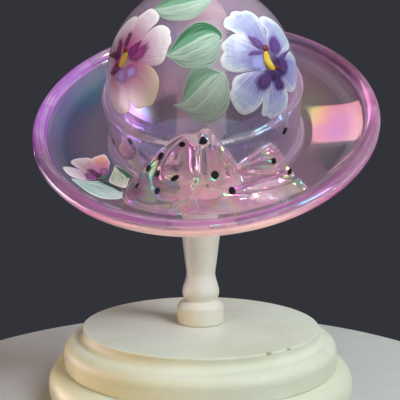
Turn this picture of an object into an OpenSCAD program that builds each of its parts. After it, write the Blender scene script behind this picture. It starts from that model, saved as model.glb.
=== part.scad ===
// Glass bowler-shaped hat with a draped bow and enamel pansies, resting tilted
// on a turned wooden post with a two-disc base. Millimetres, +Z up, origin at
// the centre of the underside, the bow faces -Y.

/* [Glass hat] */
// Diameter of the brim over its rolled rim
brim_d = 193; // [184:1:206]
// Thickness of the rolled rim
rim_t = 8; // [7:0.1:10]
// Wall of the dished brim
brim_wall = 5.5; // [4.5:0.1:6.5]
// Depth of the brim's floor below the rim's centre
dish_depth = 12.5; // [9:0.1:16]
// Outside diameter of the crown's dome
crown_d = 102; // [97:1:107]
// Wall of the crown
crown_wall = 5; // [4:0.1:6]
// Height of the dome's centre over the rim's centre
crown_rise = 19.3; // [16:0.1:24]
// How far the band stands out from the crown
band_step = 4; // [2.5:0.1:5.5]
// Depth of the band's top below the dome's centre
band_drop = 3; // [1:0.1:5]
// How far the band draws in towards its foot
band_taper = 1; // [0:0.1:2]
// Radius of the bead along the band's top
bead_r = 1; // [0.6:0.1:1.5]
// Radius of the fillet between the band and the brim
band_fillet = 2.5; // [1.5:0.1:4]
// How far the crown's inside opens out towards its mouth
mouth_flare = 3; // [1:0.1:3.5]
// Rounding of the mouth's edge
mouth_round = 2.5; // [1.5:0.1:3]

/* [Set of the hat] */
// Forward tilt of the hat
hat_tilt = 40.4; // [30:0.1:43]
// Lean of the hat to its left
hat_lean = 4.2; // [0:0.1:6]
// How far the dome's centre hangs in front of the post
hat_forward = 2.3; // [0:0.1:6]

/* [Bow] */
// Height of the knot over the band's top
knot_rise = 12; // [6:0.5:16]
// How far the knot swells out over the bow's edge
knot_swell = 5; // [3:0.5:8]
// How far the longest tail reaches out from the band
tail_reach = 23.5; // [18:0.5:27]
// Thickness of the glass along the bow's edge
bow_edge = 1.6; // [1:0.1:3]
// Depth of the bow's folds
fold_depth = 2.4; // [0:0.1:4]
// Angle between two folds
fold_pitch = 15; // [10:0.5:20]

/* [Enamel] */
// Thickness of the fired enamel
enamel_t = 0.4; // [0.3:0.1:0.8]
// Length of a pansy's petal
petal_l = 21; // [16:0.5:24]
// Width of a pansy's petal
petal_w = 17; // [13:0.5:19]
// Diameter of a pansy's throat
throat_d = 9; // [6:0.5:11]
// Length of a leaf on the crown
leaf_l = 29; // [20:0.5:32]
// Width of a leaf on the crown
leaf_w = 18; // [12:0.5:20]
// Length of the bud on the brim
bud_l = 22; // [16:0.5:24]
// Length of a leaf on the brim
sprig_l = 23; // [16:0.5:26]
// Width of a leaf on the brim
sprig_w = 9; // [6:0.5:10]

/* [Base] */
// Diameter of the flat top of the upper disc
top_d = 130; // [120:1:136]
// Diameter of the upper disc
upper_d = 148.8; // [146:0.2:152]
// Thickness of the upper disc
upper_t = 19; // [16:0.5:24]
// Height of the crisp edge round the flat top
lip_h = 2.2; // [1:0.1:3]
// Radius of the cove under the crisp edge
cove_r = 3.6; // [2:0.1:4.5]
// Diameter of the lower disc
lower_d = 165; // [160:1:175]
// Thickness of the lower disc
lower_t = 19; // [17.5:0.5:24]
// Radius of the lower disc's rounded edge
nose_r = 8.5; // [6:0.1:8.6]
// Thickness of the felt pad under the base
pad_t = 2; // [1:0.5:4]
// Distance of the pad's edge from the base's edge
pad_inset = 9; // [8.7:0.1:14]

/* [Post] */
// Height of the post over the base
post_h = 177; // [168:0.5:184]
// Diameter of the post's foot
foot_d = 26; // [24:0.5:30]
// Height of the post's foot
foot_h = 12.5; // [10:0.5:14]
// Rounding of the foot's shoulder
foot_round = 4.2; // [2:0.1:5]
// Diameter of the groove above the foot
groove_d = 18.4; // [17:0.1:19]
// Diameter of the bulge above the groove
bulge_d = 20.6; // [19.5:0.1:22]
// Height of the bulge over the base
bulge_z = 16.8; // [15:0.1:19]
// Diameter of the neck
neck_d = 16; // [14:0.1:18]
// Height of the neck over the base
neck_z = 28; // [25:0.5:32]
// Diameter of the shaft inside the crown
shaft_d = 27; // [24:0.5:29]
// Height over the base at which the shaft is full
flare_z = 90; // [70:1:110]
// Thickness of the felt cap on the post
felt_t = 1.5; // [1:0.1:3]

/* [Screws] */
// Shank diameter of the screws
screw_d = 4.8; // [4:0.1:6]
// Head diameter of the screws
screw_head_d = 9.4; // [8:0.1:11]
// Length of the long screw in the post
post_grip = 24; // [16:0.5:40]
// Length of the short screws in the upper disc
disc_grip = 10; // [6:0.5:13]
// Number of short screws
disc_screw_count = 3; // [3:1:6]
// Diameter of the circle of short screws
screw_circle_d = 90; // [60:1:110]

/* [Fits] */
// Running clearance between the post, the cap and the hat
rest_gap = 0.3; // [0.2:0.05:0.5]
// Clearance of an applied layer over the glass
skin_gap = 0.1; // [0.05:0.05:0.2]
// Bare line between two patches of enamel
paint_gap = 0.3; // [0.2:0.1:0.8]
// Clearance of a screw in its hole, all round
screw_gap = 0.1; // [0.05:0.05:0.3]

/* [Hidden] */
$fn = 96;

// Hat, in its own frame: the rim's centre plane is z = 0, the axis is +Z
rim_r = rim_t / 2;
rim_c = brim_d / 2 - rim_r;
crown_r = crown_d / 2;
crown_in = crown_r - crown_wall;
band_r = crown_r + band_step;
band_top = crown_rise - band_drop;
band_foot = band_r - band_taper;
mouth_r = crown_in + mouth_flare;
floor_z = -dish_depth;
under_z = floor_z - brim_wall;
// The dish is an arc, level at the band's fillet, whose middle runs into the rim's centre
dish_c = band_foot + band_fillet;
dish_run = rim_c - dish_c;
dish_r = (dish_run ^ 2 + dish_depth ^ 2 - brim_wall ^ 2 / 4) / (2 * dish_depth + brim_wall);
dish_cz = floor_z + dish_r;
dish_mid_r = dish_c + dish_run / 2;

// Base and post
base_top = pad_t + lower_t + upper_t;
ovolo_r = (upper_d - top_d) / 2 - cove_r;
shaft_r = shaft_d / 2;
cap_z = base_top + post_h - shaft_r;
cap_in = shaft_r + rest_gap;
cap_out = cap_in + felt_t;
// The crown's ceiling lies on the cap: the two spheres are one running clearance apart
rest_r = crown_in - cap_out - rest_gap;
dome_c = [0, -hat_forward, cap_z - sqrt(rest_r ^ 2 - hat_forward ^ 2)];

// Bow: angle from the front, then the share of the knot's height and of the longest tail
bow_crest = [[-38, 0.10], [-30, 0.38], [-20, 0.68], [-8, 0.90], [2, 1.0], [9, 0.88], [16, 0.53],
    [30, 0.50], [42, 0.43], [46, 0.12]];
bow_span = [[-38, 0.35], [-33, 0.66], [-25, 0.83], [-12, 0.91], [-3, 0.83], [12, 0.96], [25, 0.96],
    [38, 1.0], [43, 0.6], [46, 0.25]];
bow_a0 = bow_crest[0][0];
bow_a1 = bow_crest[len(bow_crest) - 1][0];
knot_angle = 2;
knot_half_angle = 14;
// Height over the band's top at which the knot's back starts to lean in to the dome
knot_lap = 5;
// Share of the height and of the reach that the middle of a drape keeps
drape_sag = 0.3;
bow_cols = 42;
bow_rows = 12;

// Steps of the turned outlines
dome_steps = 24;
dish_steps = 10;
rim_steps = 16;
edge_steps = 8;
neck_steps = 16;
flare_steps = 20;
// Part of the bead's circle that shows, and the angle by which the rim's arc stops short of the dish
bead_from = 180;
bead_to = -60;
rim_skip = 4;
// Angles at which the foot's shoulder and the disc's cove end
shoulder_to = 80;
cove_from = 265;

// Flowers: angle from the front and latitude, then the direction of each petal from the centre
right_angles = [50, 31];
left_angles = [-57, 34];
right_petals = [90, 147, 207, 261, 317, 22];
left_petals = [97, 41, -20, -81, 150, 205];
petal_inner = 3;
petal_egg = 0.3;
// Leaves on the crown: angle from the front, latitude, turn
crown_leaf_angles = [[2, 47, 14], [2, 25, 28], [-18, 74, 8]];
// Bud and leaves on the brim: angle from the front, distance out from the dish's middle, turn
bud_at = [-60, -2.5];
bud_turns = [-24, 8, 34];
bud_w = bud_l * 0.5;
brim_leaf_sets = [[-44, -8.5, 8], [-47, 2.5, -14]];

function dish_z(r) = dish_cz - sqrt(dish_r ^ 2 - max(0, r - dish_c) ^ 2);
function fillet_rise(r) = r < dish_c ? band_fillet - sqrt(band_fillet ^ 2 - (dish_c - r) ^ 2) : 0;
// Points along an arc, and the angle at which a circle about the dish's centre enters the rim
function arc_point(mid, r, a) = mid + r * [cos(a), sin(a)];
function arc(mid, r, from, to, steps) =
    [for (i = [0:steps]) arc_point(mid, r, from + (to - from) * i / steps)];
function rim_meets(r) =
    let (gap = norm([dish_run, dish_cz]))
    atan2(-dish_cz, dish_run) - acos((gap ^ 2 + r ^ 2 - rim_r ^ 2) / (2 * gap * r));
function turn_of(v, base) = base + (atan2(v[1], v[0]) + 360) % 360;
function ease(t) = (1 - cos(180 * t)) / 2;
function around(a, r, z) = [r * sin(a), -r * cos(a), z];

// Smooth curve through [x, y] stations
function slope(t, k) =
    let (p = t[max(0, k - 1)], q = t[min(len(t) - 1, k + 1)])
    (q[1] - p[1]) / (q[0] - p[0]);
function through(t, x) =
    let (
        k = max([for (i = [0:len(t) - 2]) x >= t[i][0] ? i : 0]),
        w = t[k + 1][0] - t[k][0],
        u = (x - t[k][0]) / w
    )
    t[k][1] * (1 + 2 * u) * (1 - u) ^ 2 + t[k + 1][1] * (3 - 2 * u) * u ^ 2
        + w * slope(t, k) * u * (1 - u) ^ 2 - w * slope(t, k + 1) * (1 - u) * u ^ 2;

// Height of the bow's upper edge and reach of its outer edge at an angle
function bow_height(a) = floor_z + (band_top + knot_rise - floor_z) * through(bow_crest, a);
function bow_reach(a) = band_r + tail_reach * through(bow_span, a);
function bow_swell(a) = abs(a - knot_angle) < knot_half_angle
    ? knot_swell * (1 + cos(180 * (a - knot_angle) / knot_half_angle)) / 2
    : 0;
function fold(a, s) = fold_depth * sin(180 * s) * (1 + cos(360 * (a - knot_angle) / fold_pitch)) / 2;
// Radius of what the bow's back lies on: the band's side, and above it the dome
function dome_at(z) = sqrt(crown_r ^ 2 - max(0, z - crown_rise) ^ 2);
function seat_at(z) = max(dome_at(z), band_r - max(0, z - band_top - knot_lap)) + skin_gap;
// Back of the bow: down the dome and the band's side, then out along the brim, s from 0 to 1
function bow_back(a, s) =
    let (
        drop = bow_height(a) - floor_z,
        run = bow_reach(a) - band_r,
        along = s * (drop + run),
        out = along - drop,
        r = out > 0 ? band_r + skin_gap + out : seat_at(floor_z - out),
        z = max(floor_z - out, dish_z(r) + fillet_rise(r) + skin_gap)
    )
    around(a, r, z);
// Front of the bow: a curve from the upper edge to the outer edge, with the folds on it
function bow_front(a, s) =
    let (
        edge = skin_gap + bow_edge,
        reach = bow_reach(a),
        high = bow_height(a),
        p0 = [band_r + edge + bow_swell(a), high],
        p1 = [p0[0] + drape_sag * (reach - band_r), floor_z + drape_sag * (high - floor_z) + edge],
        p2 = [reach + bow_edge, dish_z(reach) + edge],
        p = (1 - s) ^ 2 * p0 + 2 * s * (1 - s) * p1 + s ^ 2 * p2
    )
    around(a, p[0] + fold(a, s), p[1] + fold(a, s));

// Radius of the shaft: groove, bulge and neck run smoothly into the flare
function shaft_at(z) =
    z < bulge_z ? (groove_d + (bulge_d - groove_d) * ease((z - foot_h) / (bulge_z - foot_h))) / 2
    : z < neck_z ? (bulge_d + (neck_d - bulge_d) * ease((z - bulge_z) / (neck_z - bulge_z))) / 2
    : z < flare_z ? (neck_d + (shaft_d - neck_d) * (1 - (1 - (z - neck_z) / (flare_z - neck_z)) ^ 1.5)) / 2
    : shaft_r;

// Carries a shape from the hat's own frame to where the hat rests
module on_hat() {
    translate(dome_c)
        rotate([hat_tilt, 0, 0])
            rotate([0, -hat_lean, 0])
                translate([0, 0, -crown_rise])
                    children();
}

// Faces a flat shape outwards at a point of the dome
module on_dome(angle, latitude, turn = 0) {
    translate([0, 0, crown_rise])
        rotate([0, 0, angle])
            rotate([90 - latitude, 0, 0])
                rotate([0, 0, turn])
                    children();
}

// Lays a flat shape over a point of the brim, with +X outwards
module on_brim(angle, radius, turn = 0) {
    rotate([0, 0, angle - 90])
        translate([radius, 0, 0])
            rotate([0, 0, turn])
                children();
}

// Radius of the crown's inside below the dome's centre
function wall_at(z) = crown_in + mouth_flare * (crown_rise - z) / (crown_rise - under_z - mouth_round);

// Section of the crown: over the dome, down to its foot on the brim and back inside
module crown() {
    color([0.80, 0.58, 0.74, 0.5])
        on_hat()
            rotate_extrude()
                polygon(concat(
                    arc([0, crown_rise], crown_r, 90, 0, dome_steps),
                    [[crown_r, floor_z], [wall_at(floor_z), floor_z]],
                    arc([0, crown_rise], crown_in, 0, 90, dome_steps)
                ));
}

// Section of the band: a bead along its top, a fillet at its foot
module hat_band() {
    inner = crown_r + skin_gap;
    color([0.72, 0.48, 0.68, 0.5])
        on_hat()
            rotate_extrude()
                polygon(concat(
                    [[inner, floor_z], [inner, band_top]],
                    arc([band_r - bead_r, band_top], bead_r, bead_from, bead_to, edge_steps),
                    arc([dish_c, floor_z + band_fillet], band_fillet, 180, 270, edge_steps)
                ));
}

// Section of the brim: out along the dish, round the rim, back under it and round the mouth
module brim() {
    dish_mid = [dish_c, dish_cz];
    rim_mid = [rim_c, 0];
    far = dish_r + brim_wall;
    top_end = rim_meets(dish_r);
    low_end = rim_meets(far);
    rim_from = turn_of(arc_point(dish_mid, dish_r, top_end) - rim_mid, 0);
    rim_to = turn_of(arc_point(dish_mid, far, low_end) - rim_mid, -360);
    color([0.78, 0.55, 0.72, 0.5])
        on_hat()
            rotate_extrude()
                polygon(concat(
                    [[wall_at(floor_z), floor_z]],
                    arc(dish_mid, dish_r, -90, top_end, dish_steps),
                    arc(rim_mid, rim_r, rim_from - rim_skip, rim_to + rim_skip, rim_steps),
                    arc(dish_mid, far, low_end, -90, dish_steps),
                    arc([mouth_r + mouth_round, under_z + mouth_round], mouth_round, 270, 180, edge_steps)
                ));
}

module bow() {
    angles = [for (i = [0:bow_cols]) bow_a0 + (bow_a1 - bow_a0) * i / bow_cols];
    front = [for (a = angles) for (j = [0:bow_rows]) bow_front(a, j / bow_rows)];
    back = [for (a = angles) for (j = [0:bow_rows]) bow_back(a, j / bow_rows)];
    line = bow_rows + 1;
    far = len(front);
    last = bow_cols * line;
    faces = [
        for (i = [0:bow_cols - 1]) for (j = [0:bow_rows - 1])
            let (p = i * line + j, q = p + line)
                each [[p, q, q + 1], [p, q + 1, p + 1], [far + p, far + q + 1, far + q],
                    [far + p, far + p + 1, far + q + 1]],
        for (i = [0:bow_cols - 1])
            let (p = i * line, q = p + line, m = p + bow_rows, n = q + bow_rows)
                each [[far + p, far + q, q], [far + p, q, p], [m, n, far + n], [m, far + n, far + m]],
        for (j = [0:bow_rows - 1])
            let (p = j, q = last + j)
                each [[far + p, p, p + 1], [far + p, p + 1, far + p + 1], [q, far + q, far + q + 1],
                    [q, far + q + 1, q + 1]]
    ];
    color([0.86, 0.66, 0.78, 0.6])
        on_hat()
            polyhedron(concat(front, back), faces);
}

// Egg-shaped petal along +X, narrow end at the flower's centre, grown by a gap all round
module petal(length, width, gap) {
    polygon([
        for (t = [0:15:345])
            [
                petal_inner + length / 2 + (length / 2 + gap) * cos(t),
                (width / 2 + gap) * sin(t) * (1 + petal_egg * cos(t))
            ]
    ]);
}

// Pointed leaf along X, between two equal arcs
module leaf(length, width) {
    arc_r = (length ^ 2 + width ^ 2) / (4 * width);
    intersection() {
        translate([0, arc_r - width / 2])
            circle(arc_r);
        translate([0, width / 2 - arc_r])
            circle(arc_r);
    }
}

// Layer of enamel on the dome, cut to the flat shapes given
module dome_enamel() {
    on_hat()
        intersection() {
            translate([0, 0, crown_rise])
                difference() {
                    sphere(crown_r + skin_gap + enamel_t);
                    sphere(crown_r + skin_gap);
                }
            children();
        }
}

// Layer of enamel in the dish of the brim, clear of the rim, cut to the flat shapes given
module dish_enamel() {
    on_hat()
        intersection() {
            rotate_extrude()
                difference() {
                    intersection() {
                        translate([dish_c, dish_cz])
                            difference() {
                                circle(dish_r - skin_gap);
                                circle(dish_r - skin_gap - enamel_t);
                            }
                        translate([dish_c, under_z])
                            square([dish_run, rim_r - under_z]);
                    }
                    translate([rim_c, 0])
                        circle(rim_r + skin_gap);
                }
            translate([0, 0, under_z])
                linear_extrude(rim_r - under_z)
                    children();
        }
}

// Prism through the dome with a pansy's outline, grown by a gap all round
module pansy(at, petals, gap = 0) {
    on_dome(at[0], at[1])
        translate([0, 0, crown_r / 2])
            linear_extrude(crown_r) {
                circle(d = throat_d);
                for (turn = petals)
                    rotate(turn)
                        petal(petal_l, petal_w, gap);
            }
}

// Outline of the bud on the brim, and of the bow's foot there, grown by a gap all round
module bud_print(gap = 0) {
    on_brim(bud_at[0], dish_mid_r + bud_at[1] + bud_l / 2)
        for (turn = bud_turns)
            rotate(180 + turn)
                petal(bud_l, bud_w, gap);
}

module bow_print(gap) {
    polygon([
        [0, 0],
        for (i = [0:bow_cols])
            let (
                a = bow_a0 + (bow_a1 - bow_a0) * i / bow_cols,
                p = around(a, bow_reach(a) + bow_edge + gap, 0)
            )
            [p[0], p[1]]
    ]);
}

module right_pansy() {
    color([0.62, 0.63, 0.88])
        dome_enamel()
            pansy(right_angles, right_petals);
}

module left_pansy() {
    color([0.90, 0.74, 0.80])
        dome_enamel()
            pansy(left_angles, left_petals);
}

module crown_leaves() {
    color([0.42, 0.66, 0.50])
        dome_enamel()
            difference() {
                for (set = crown_leaf_angles)
                    on_dome(set[0], set[1], set[2])
                        translate([0, 0, crown_r / 2])
                            linear_extrude(crown_r)
                                leaf(leaf_l, leaf_w);
                pansy(right_angles, right_petals, paint_gap);
                pansy(left_angles, left_petals, paint_gap);
            }
}

module brim_bud() {
    color([0.92, 0.80, 0.86])
        dish_enamel()
            bud_print();
}

module brim_leaves() {
    color([0.60, 0.80, 0.70])
        dish_enamel()
            difference() {
                for (set = brim_leaf_sets)
                    on_brim(set[0], dish_mid_r + set[1], 90 + set[2])
                        leaf(sprig_l, sprig_w);
                bud_print(paint_gap);
                bow_print(paint_gap);
            }
}

// Felt cap over the rounded top of the post
module felt_cap() {
    color([0.90, 0.88, 0.82])
        translate([0, 0, cap_z])
            rotate_extrude()
                intersection() {
                    difference() {
                        circle(cap_out);
                        circle(cap_in);
                    }
                    square(2 * cap_out);
                }
}

// Countersunk screw pointing up, the head's flat face at z = 0
module screw(length, gap = 0) {
    shank_r = screw_d / 2 + gap;
    head_r = screw_head_d / 2 + gap;
    cone_h = head_r - shank_r;
    rotate_extrude()
        polygon([
            [0, 0], [head_r, 0], [shank_r, cone_h], [shank_r, length + gap - screw_d],
            [0, length + gap]
        ]);
}

module post_screw_at(gap = 0) {
    translate([0, 0, pad_t])
        screw(lower_t + upper_t + post_grip, gap);
}

module disc_screws_at(gap = 0) {
    for (i = [0:disc_screw_count - 1])
        rotate([0, 0, 360 * i / disc_screw_count])
            translate([screw_circle_d / 2, 0, pad_t])
                screw(lower_t + disc_grip, gap);
}

module post() {
    foot_r = foot_d / 2;
    shaft_top = post_h - shaft_r;
    color([0.90, 0.87, 0.76])
        difference() {
            translate([0, 0, base_top])
                rotate_extrude()
                    polygon(concat(
                        [[0, 0], [foot_r, 0]],
                        arc([foot_r - foot_round, foot_h - foot_round], foot_round, 0, shoulder_to,
                            edge_steps),
                        [
                            for (i = [0:neck_steps])
                                let (z = foot_h + (neck_z - foot_h) * i / neck_steps)
                                [shaft_at(z), z]
                        ],
                        [
                            for (i = [1:flare_steps])
                                let (z = neck_z + (flare_z - neck_z) * i / flare_steps)
                                [shaft_at(z), z]
                        ],
                        arc([0, shaft_top], shaft_r, 0, 90, dome_steps)
                    ));
            post_screw_at(screw_gap);
        }
}

module upper_disc() {
    top_r = top_d / 2;
    cove_c = top_r + cove_r;
    ovolo_z = -lip_h - cove_r - ovolo_r;
    color([0.90, 0.87, 0.77])
        difference() {
            translate([0, 0, base_top])
                rotate_extrude()
                    polygon(concat(
                        [[0, -upper_t], [upper_d / 2, -upper_t]],
                        arc([cove_c, ovolo_z], ovolo_r, 0, 90, edge_steps),
                        arc([cove_c, -lip_h], cove_r, cove_from, 180, edge_steps),
                        [[top_r, 0], [0, 0]]
                    ));
            post_screw_at(screw_gap);
            disc_screws_at(screw_gap);
        }
}

module lower_disc() {
    nose_c = lower_d / 2 - nose_r;
    color([0.88, 0.84, 0.73])
        difference() {
            translate([0, 0, pad_t])
                rotate_extrude()
                    polygon(concat(
                        [[0, 0]],
                        arc([nose_c, nose_r], nose_r, -90, 0, edge_steps),
                        arc([nose_c, lower_t - nose_r], nose_r, 0, 90, edge_steps),
                        [[0, lower_t]]
                    ));
            post_screw_at(screw_gap);
            disc_screws_at(screw_gap);
        }
}

module post_screw() {
    color([0.72, 0.70, 0.64])
        post_screw_at();
}

module disc_screws() {
    color([0.72, 0.70, 0.64])
        disc_screws_at();
}

module base_pad() {
    color([0.80, 0.77, 0.68])
        cylinder(r = lower_d / 2 - pad_inset, h = pad_t);
}

crown();
hat_band();
brim();
bow();
right_pansy();
left_pansy();
crown_leaves();
brim_bud();
brim_leaves();
felt_cap();
post();
upper_disc();
lower_disc();
post_screw();
disc_screws();
base_pad();
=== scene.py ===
import bpy
import numpy as np
from mathutils import Matrix, Vector


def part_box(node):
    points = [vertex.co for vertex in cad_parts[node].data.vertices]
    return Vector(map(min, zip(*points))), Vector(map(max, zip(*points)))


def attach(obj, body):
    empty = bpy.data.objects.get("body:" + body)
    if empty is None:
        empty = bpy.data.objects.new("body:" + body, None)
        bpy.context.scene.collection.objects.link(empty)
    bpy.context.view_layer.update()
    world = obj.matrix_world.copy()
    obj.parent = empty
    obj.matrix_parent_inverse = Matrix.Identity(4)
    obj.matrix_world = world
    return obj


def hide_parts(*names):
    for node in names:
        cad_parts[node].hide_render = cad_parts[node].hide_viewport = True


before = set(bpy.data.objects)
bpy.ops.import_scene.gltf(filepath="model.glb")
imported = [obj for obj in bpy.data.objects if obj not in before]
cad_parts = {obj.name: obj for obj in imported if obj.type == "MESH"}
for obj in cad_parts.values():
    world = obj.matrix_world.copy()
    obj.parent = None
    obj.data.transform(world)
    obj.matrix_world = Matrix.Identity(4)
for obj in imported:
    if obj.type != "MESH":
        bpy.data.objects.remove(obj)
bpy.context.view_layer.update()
mm = 0.001
print("frame loaded:", len(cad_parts), "solids")


# colours and curves

def tint(text):  # "#rrggbb" as seen on screen, to linear red, green, blue, alpha
    value = np.array([int(text[i:i + 2], 16) for i in (1, 3, 5)]) / 255
    linear = np.where(value <= 0.04045, value / 12.92, ((value + 0.055) / 1.055) ** 2.4)
    return (*map(float, linear), 1.0)


def smooth(x):  # 0 below 0, 1 above 1, an S curve between
    t = np.clip(x, 0, 1)
    return t * t * (3 - 2 * t)


def arc(centre, radius, start, end, count):  # points on a circle, from start to end in degrees
    t = np.radians(np.linspace(start, end, count))
    return np.stack([centre[0] + radius * np.cos(t), centre[1] + radius * np.sin(t)], 1)


def through(stations, x):
    # smooth curve through (x, y) stations: cubics with central slopes, flat past the ends
    px, py = np.array(stations, float).T
    slope = np.gradient(py)
    slope[1:-1] = (py[2:] - py[:-2]) / (px[2:] - px[:-2])
    slope[[0, -1]] = (py[1] - py[0]) / (px[1] - px[0]), (py[-1] - py[-2]) / (px[-1] - px[-2])
    k = np.clip(np.searchsorted(px, x, "right") - 1, 0, len(px) - 2)
    h = px[k + 1] - px[k]
    t = np.clip((x - px[k]) / h, 0, 1)
    return ((2 * t ** 3 - 3 * t ** 2 + 1) * py[k] + (t ** 3 - 2 * t ** 2 + t) * h * slope[k]
            + (3 * t ** 2 - 2 * t ** 3) * py[k + 1] + (t ** 3 - t ** 2) * h * slope[k + 1])


def lengthAlong(points):  # distance run along a polyline, at each of its points
    return np.concatenate([[0], np.cumsum(np.hypot(*np.diff(points, axis=0).T))])


def evenly(points, count):  # the same polyline with points at equal steps
    run = lengthAlong(points)
    s = np.linspace(0, run[-1], count)
    return np.stack([np.interp(s, run, points[:, 0]), np.interp(s, run, points[:, 1])], 1)


def softened(line, kernel):  # moving mean along a polyline
    kernel = kernel / kernel.sum()
    padded = np.pad(line, ((len(kernel) // 2,) * 2, (0, 0)), "edge")
    return np.stack([np.convolve(column, kernel, "valid") for column in padded.T], 1)


def distanceTo(x, y, line):  # least distance from each (x, y) to the segments of a polyline
    best = np.full(np.shape(x), 1e9)
    for (ax, ay), (bx, by) in zip(line[:-1], line[1:]):
        t = np.clip(((x - ax) * (bx - ax) + (y - ay) * (by - ay)) / ((bx - ax) ** 2 + (by - ay) ** 2), 0, 1)
        best = np.minimum(best, np.hypot(x - ax - t * (bx - ax), y - ay - t * (by - ay)))
    return best


def inside(x, y, line):  # even-odd test of each (x, y) against a closed polyline
    odd = np.zeros(np.shape(x), bool)
    for (ax, ay), (bx, by) in zip(line, line[1:] + line[:1]):
        if ay != by:
            odd ^= ((ay > y) != (by > y)) & (x < (bx - ax) * (y - ay) / (by - ay) + ax)
    return odd


# meshes

def ringQuads(rows, cols):  # quads between neighbouring rings of a grid that closes sideways
    i, j = np.meshgrid(np.arange(rows - 1), np.arange(cols), indexing="ij")
    k = (j + 1) % cols
    return np.stack([i * cols + j, (i + 1) * cols + j, (i + 1) * cols + k, i * cols + k], -1).reshape(-1, 4)


def cappedRings(rings, first, last):  # rings of points closed at both ends by a fan to one point
    rows, cols = rings.shape[:2]
    j = np.arange(cols)
    k, end, start = (j + 1) % cols, (rows - 1) * cols, rows * cols
    fans = [np.stack([np.full(cols, start), j, k], 1),
            np.stack([end + j, np.full(cols, start + 1), end + k], 1)]
    points = np.concatenate([rings.reshape(-1, 3), [first, last]])
    return points, [ringQuads(rows, cols), *fans]


def turned(profile, columns=180):  # (radius, height) profile carried round Z; both ends lie on the axis
    a = np.linspace(0, 2 * np.pi, columns, endpoint=False)
    r, z = profile[1:-1].T
    rings = np.stack([r[:, None] * np.sin(a), -r[:, None] * np.cos(a), np.repeat(z[:, None], columns, 1)], -1)
    return cappedRings(rings, (0, 0, profile[0, 1]), (0, 0, profile[-1, 1]))


def addPiece(name, points, faceSets, material, body=None, slot=None, nodes=(), values=None):
    mesh = bpy.data.meshes.new(name)
    faces = [face for faceSet in faceSets for face in faceSet.tolist()]
    mesh.from_pydata(np.asarray(points).tolist(), [], faces)
    mesh.polygons.foreach_set("use_smooth", np.ones(len(faces), bool))
    for key, value in (values or {}).items():
        mesh.attributes.new(key, "FLOAT", "POINT").data.foreach_set("value", np.asarray(value, np.float32))
    mesh.materials.append(material)
    piece = bpy.data.objects.new(name, mesh)
    bpy.context.scene.collection.objects.link(piece)
    if body:
        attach(piece, body)
        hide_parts(*nodes)
    print(name, len(faces), "faces")
    return piece


# material helpers

def newMaterial(name):
    material = bpy.data.materials.new(name)
    material.use_nodes = True
    return material, material.node_tree, material.node_tree.nodes["Principled BSDF"]


def plug(tree, socket, value):  # a link from an output, or a plain value
    if isinstance(value, bpy.types.NodeSocket):
        tree.links.new(value, socket)
    elif value is not None:
        socket.default_value = value


def addNode(tree, kind, settings=None, **inputs):
    made = tree.nodes.new(kind)
    for key, value in (settings or {}).items():
        setattr(made, key, value)
    for key, value in inputs.items():
        plug(tree, made.inputs[key.replace("_", " ")], value)
    return made


def calc(tree, operation, a, b=None, c=None):
    made = tree.nodes.new("ShaderNodeMath")
    made.operation = operation
    for socket, value in zip(made.inputs, (a, b, c)):
        plug(tree, socket, value)
    return made.outputs[0]


def vectorCalc(tree, operation, *values):
    made = addNode(tree, "ShaderNodeVectorMath", dict(operation=operation))
    for socket, value in zip(made.inputs, values):
        plug(tree, socket, value)
    return made.outputs["Value" if operation in ("DOT_PRODUCT", "LENGTH") else "Vector"]


def blend(tree, amount, a, b):  # colour a to colour b
    made = tree.nodes.new("ShaderNodeMix")
    made.data_type = "RGBA"
    for index, value in ((0, amount), (6, a), (7, b)):
        plug(tree, made.inputs[index], value)
    return made.outputs[2]


def spread(tree, value, low, high, toLow=0.0, toHigh=1.0):  # value from low..high to toLow..toHigh, clamped
    made = addNode(tree, "ShaderNodeMapRange", dict(interpolation_type="SMOOTHSTEP"))
    for index, item in enumerate((value, low, high, toLow, toHigh)):
        plug(tree, made.inputs[index], item)
    return made.outputs[0]


def noise(tree, vector, scale, detail=3.0, rough=0.55):
    inputs = dict(Vector=vector, Scale=scale, Detail=detail, Roughness=rough)
    return addNode(tree, "ShaderNodeTexNoise", None, **inputs).outputs["Fac"]


def objectPlace(tree):
    return tree.nodes.new("ShaderNodeTexCoord").outputs["Object"]


def attribute(tree, name):
    return addNode(tree, "ShaderNodeAttribute", dict(attribute_name=name)).outputs["Fac"]


def vectorOf(tree, x, y, z=0.0):
    return addNode(tree, "ShaderNodeCombineXYZ", None, X=x, Y=y, Z=z).outputs[0]


def newGroup(name, inputs, outputs):
    group = bpy.data.node_groups.new(name, "ShaderNodeTree")
    for label, kind, value in inputs:
        socket = group.interface.new_socket(label, in_out="INPUT", socket_type="NodeSocket" + kind)
        if value is not None:
            socket.default_value = value
    for label, kind in outputs:
        group.interface.new_socket(label, in_out="OUTPUT", socket_type="NodeSocket" + kind)
    return group, group.nodes.new("NodeGroupInput").outputs, group.nodes.new("NodeGroupOutput").inputs


def useGroup(tree, group, **inputs):
    made = tree.nodes.new("ShaderNodeGroup")
    made.node_tree = group
    for key, value in inputs.items():
        plug(tree, made.inputs[key.replace("_", " ")], value)
    return made.outputs


def bump(tree, height, strength, distance):
    inputs = dict(Height=height, Strength=strength, Distance=distance)
    return addNode(tree, "ShaderNodeBump", None, **inputs).outputs[0]


def lay(tree, base, colour, value, low, high, most=1.0):
    # a colour over the base, as the value goes from low to high
    over = tint(colour) if isinstance(colour, str) else colour
    return blend(tree, spread(tree, value, low, high, 0.0, most), base, over)


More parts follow.
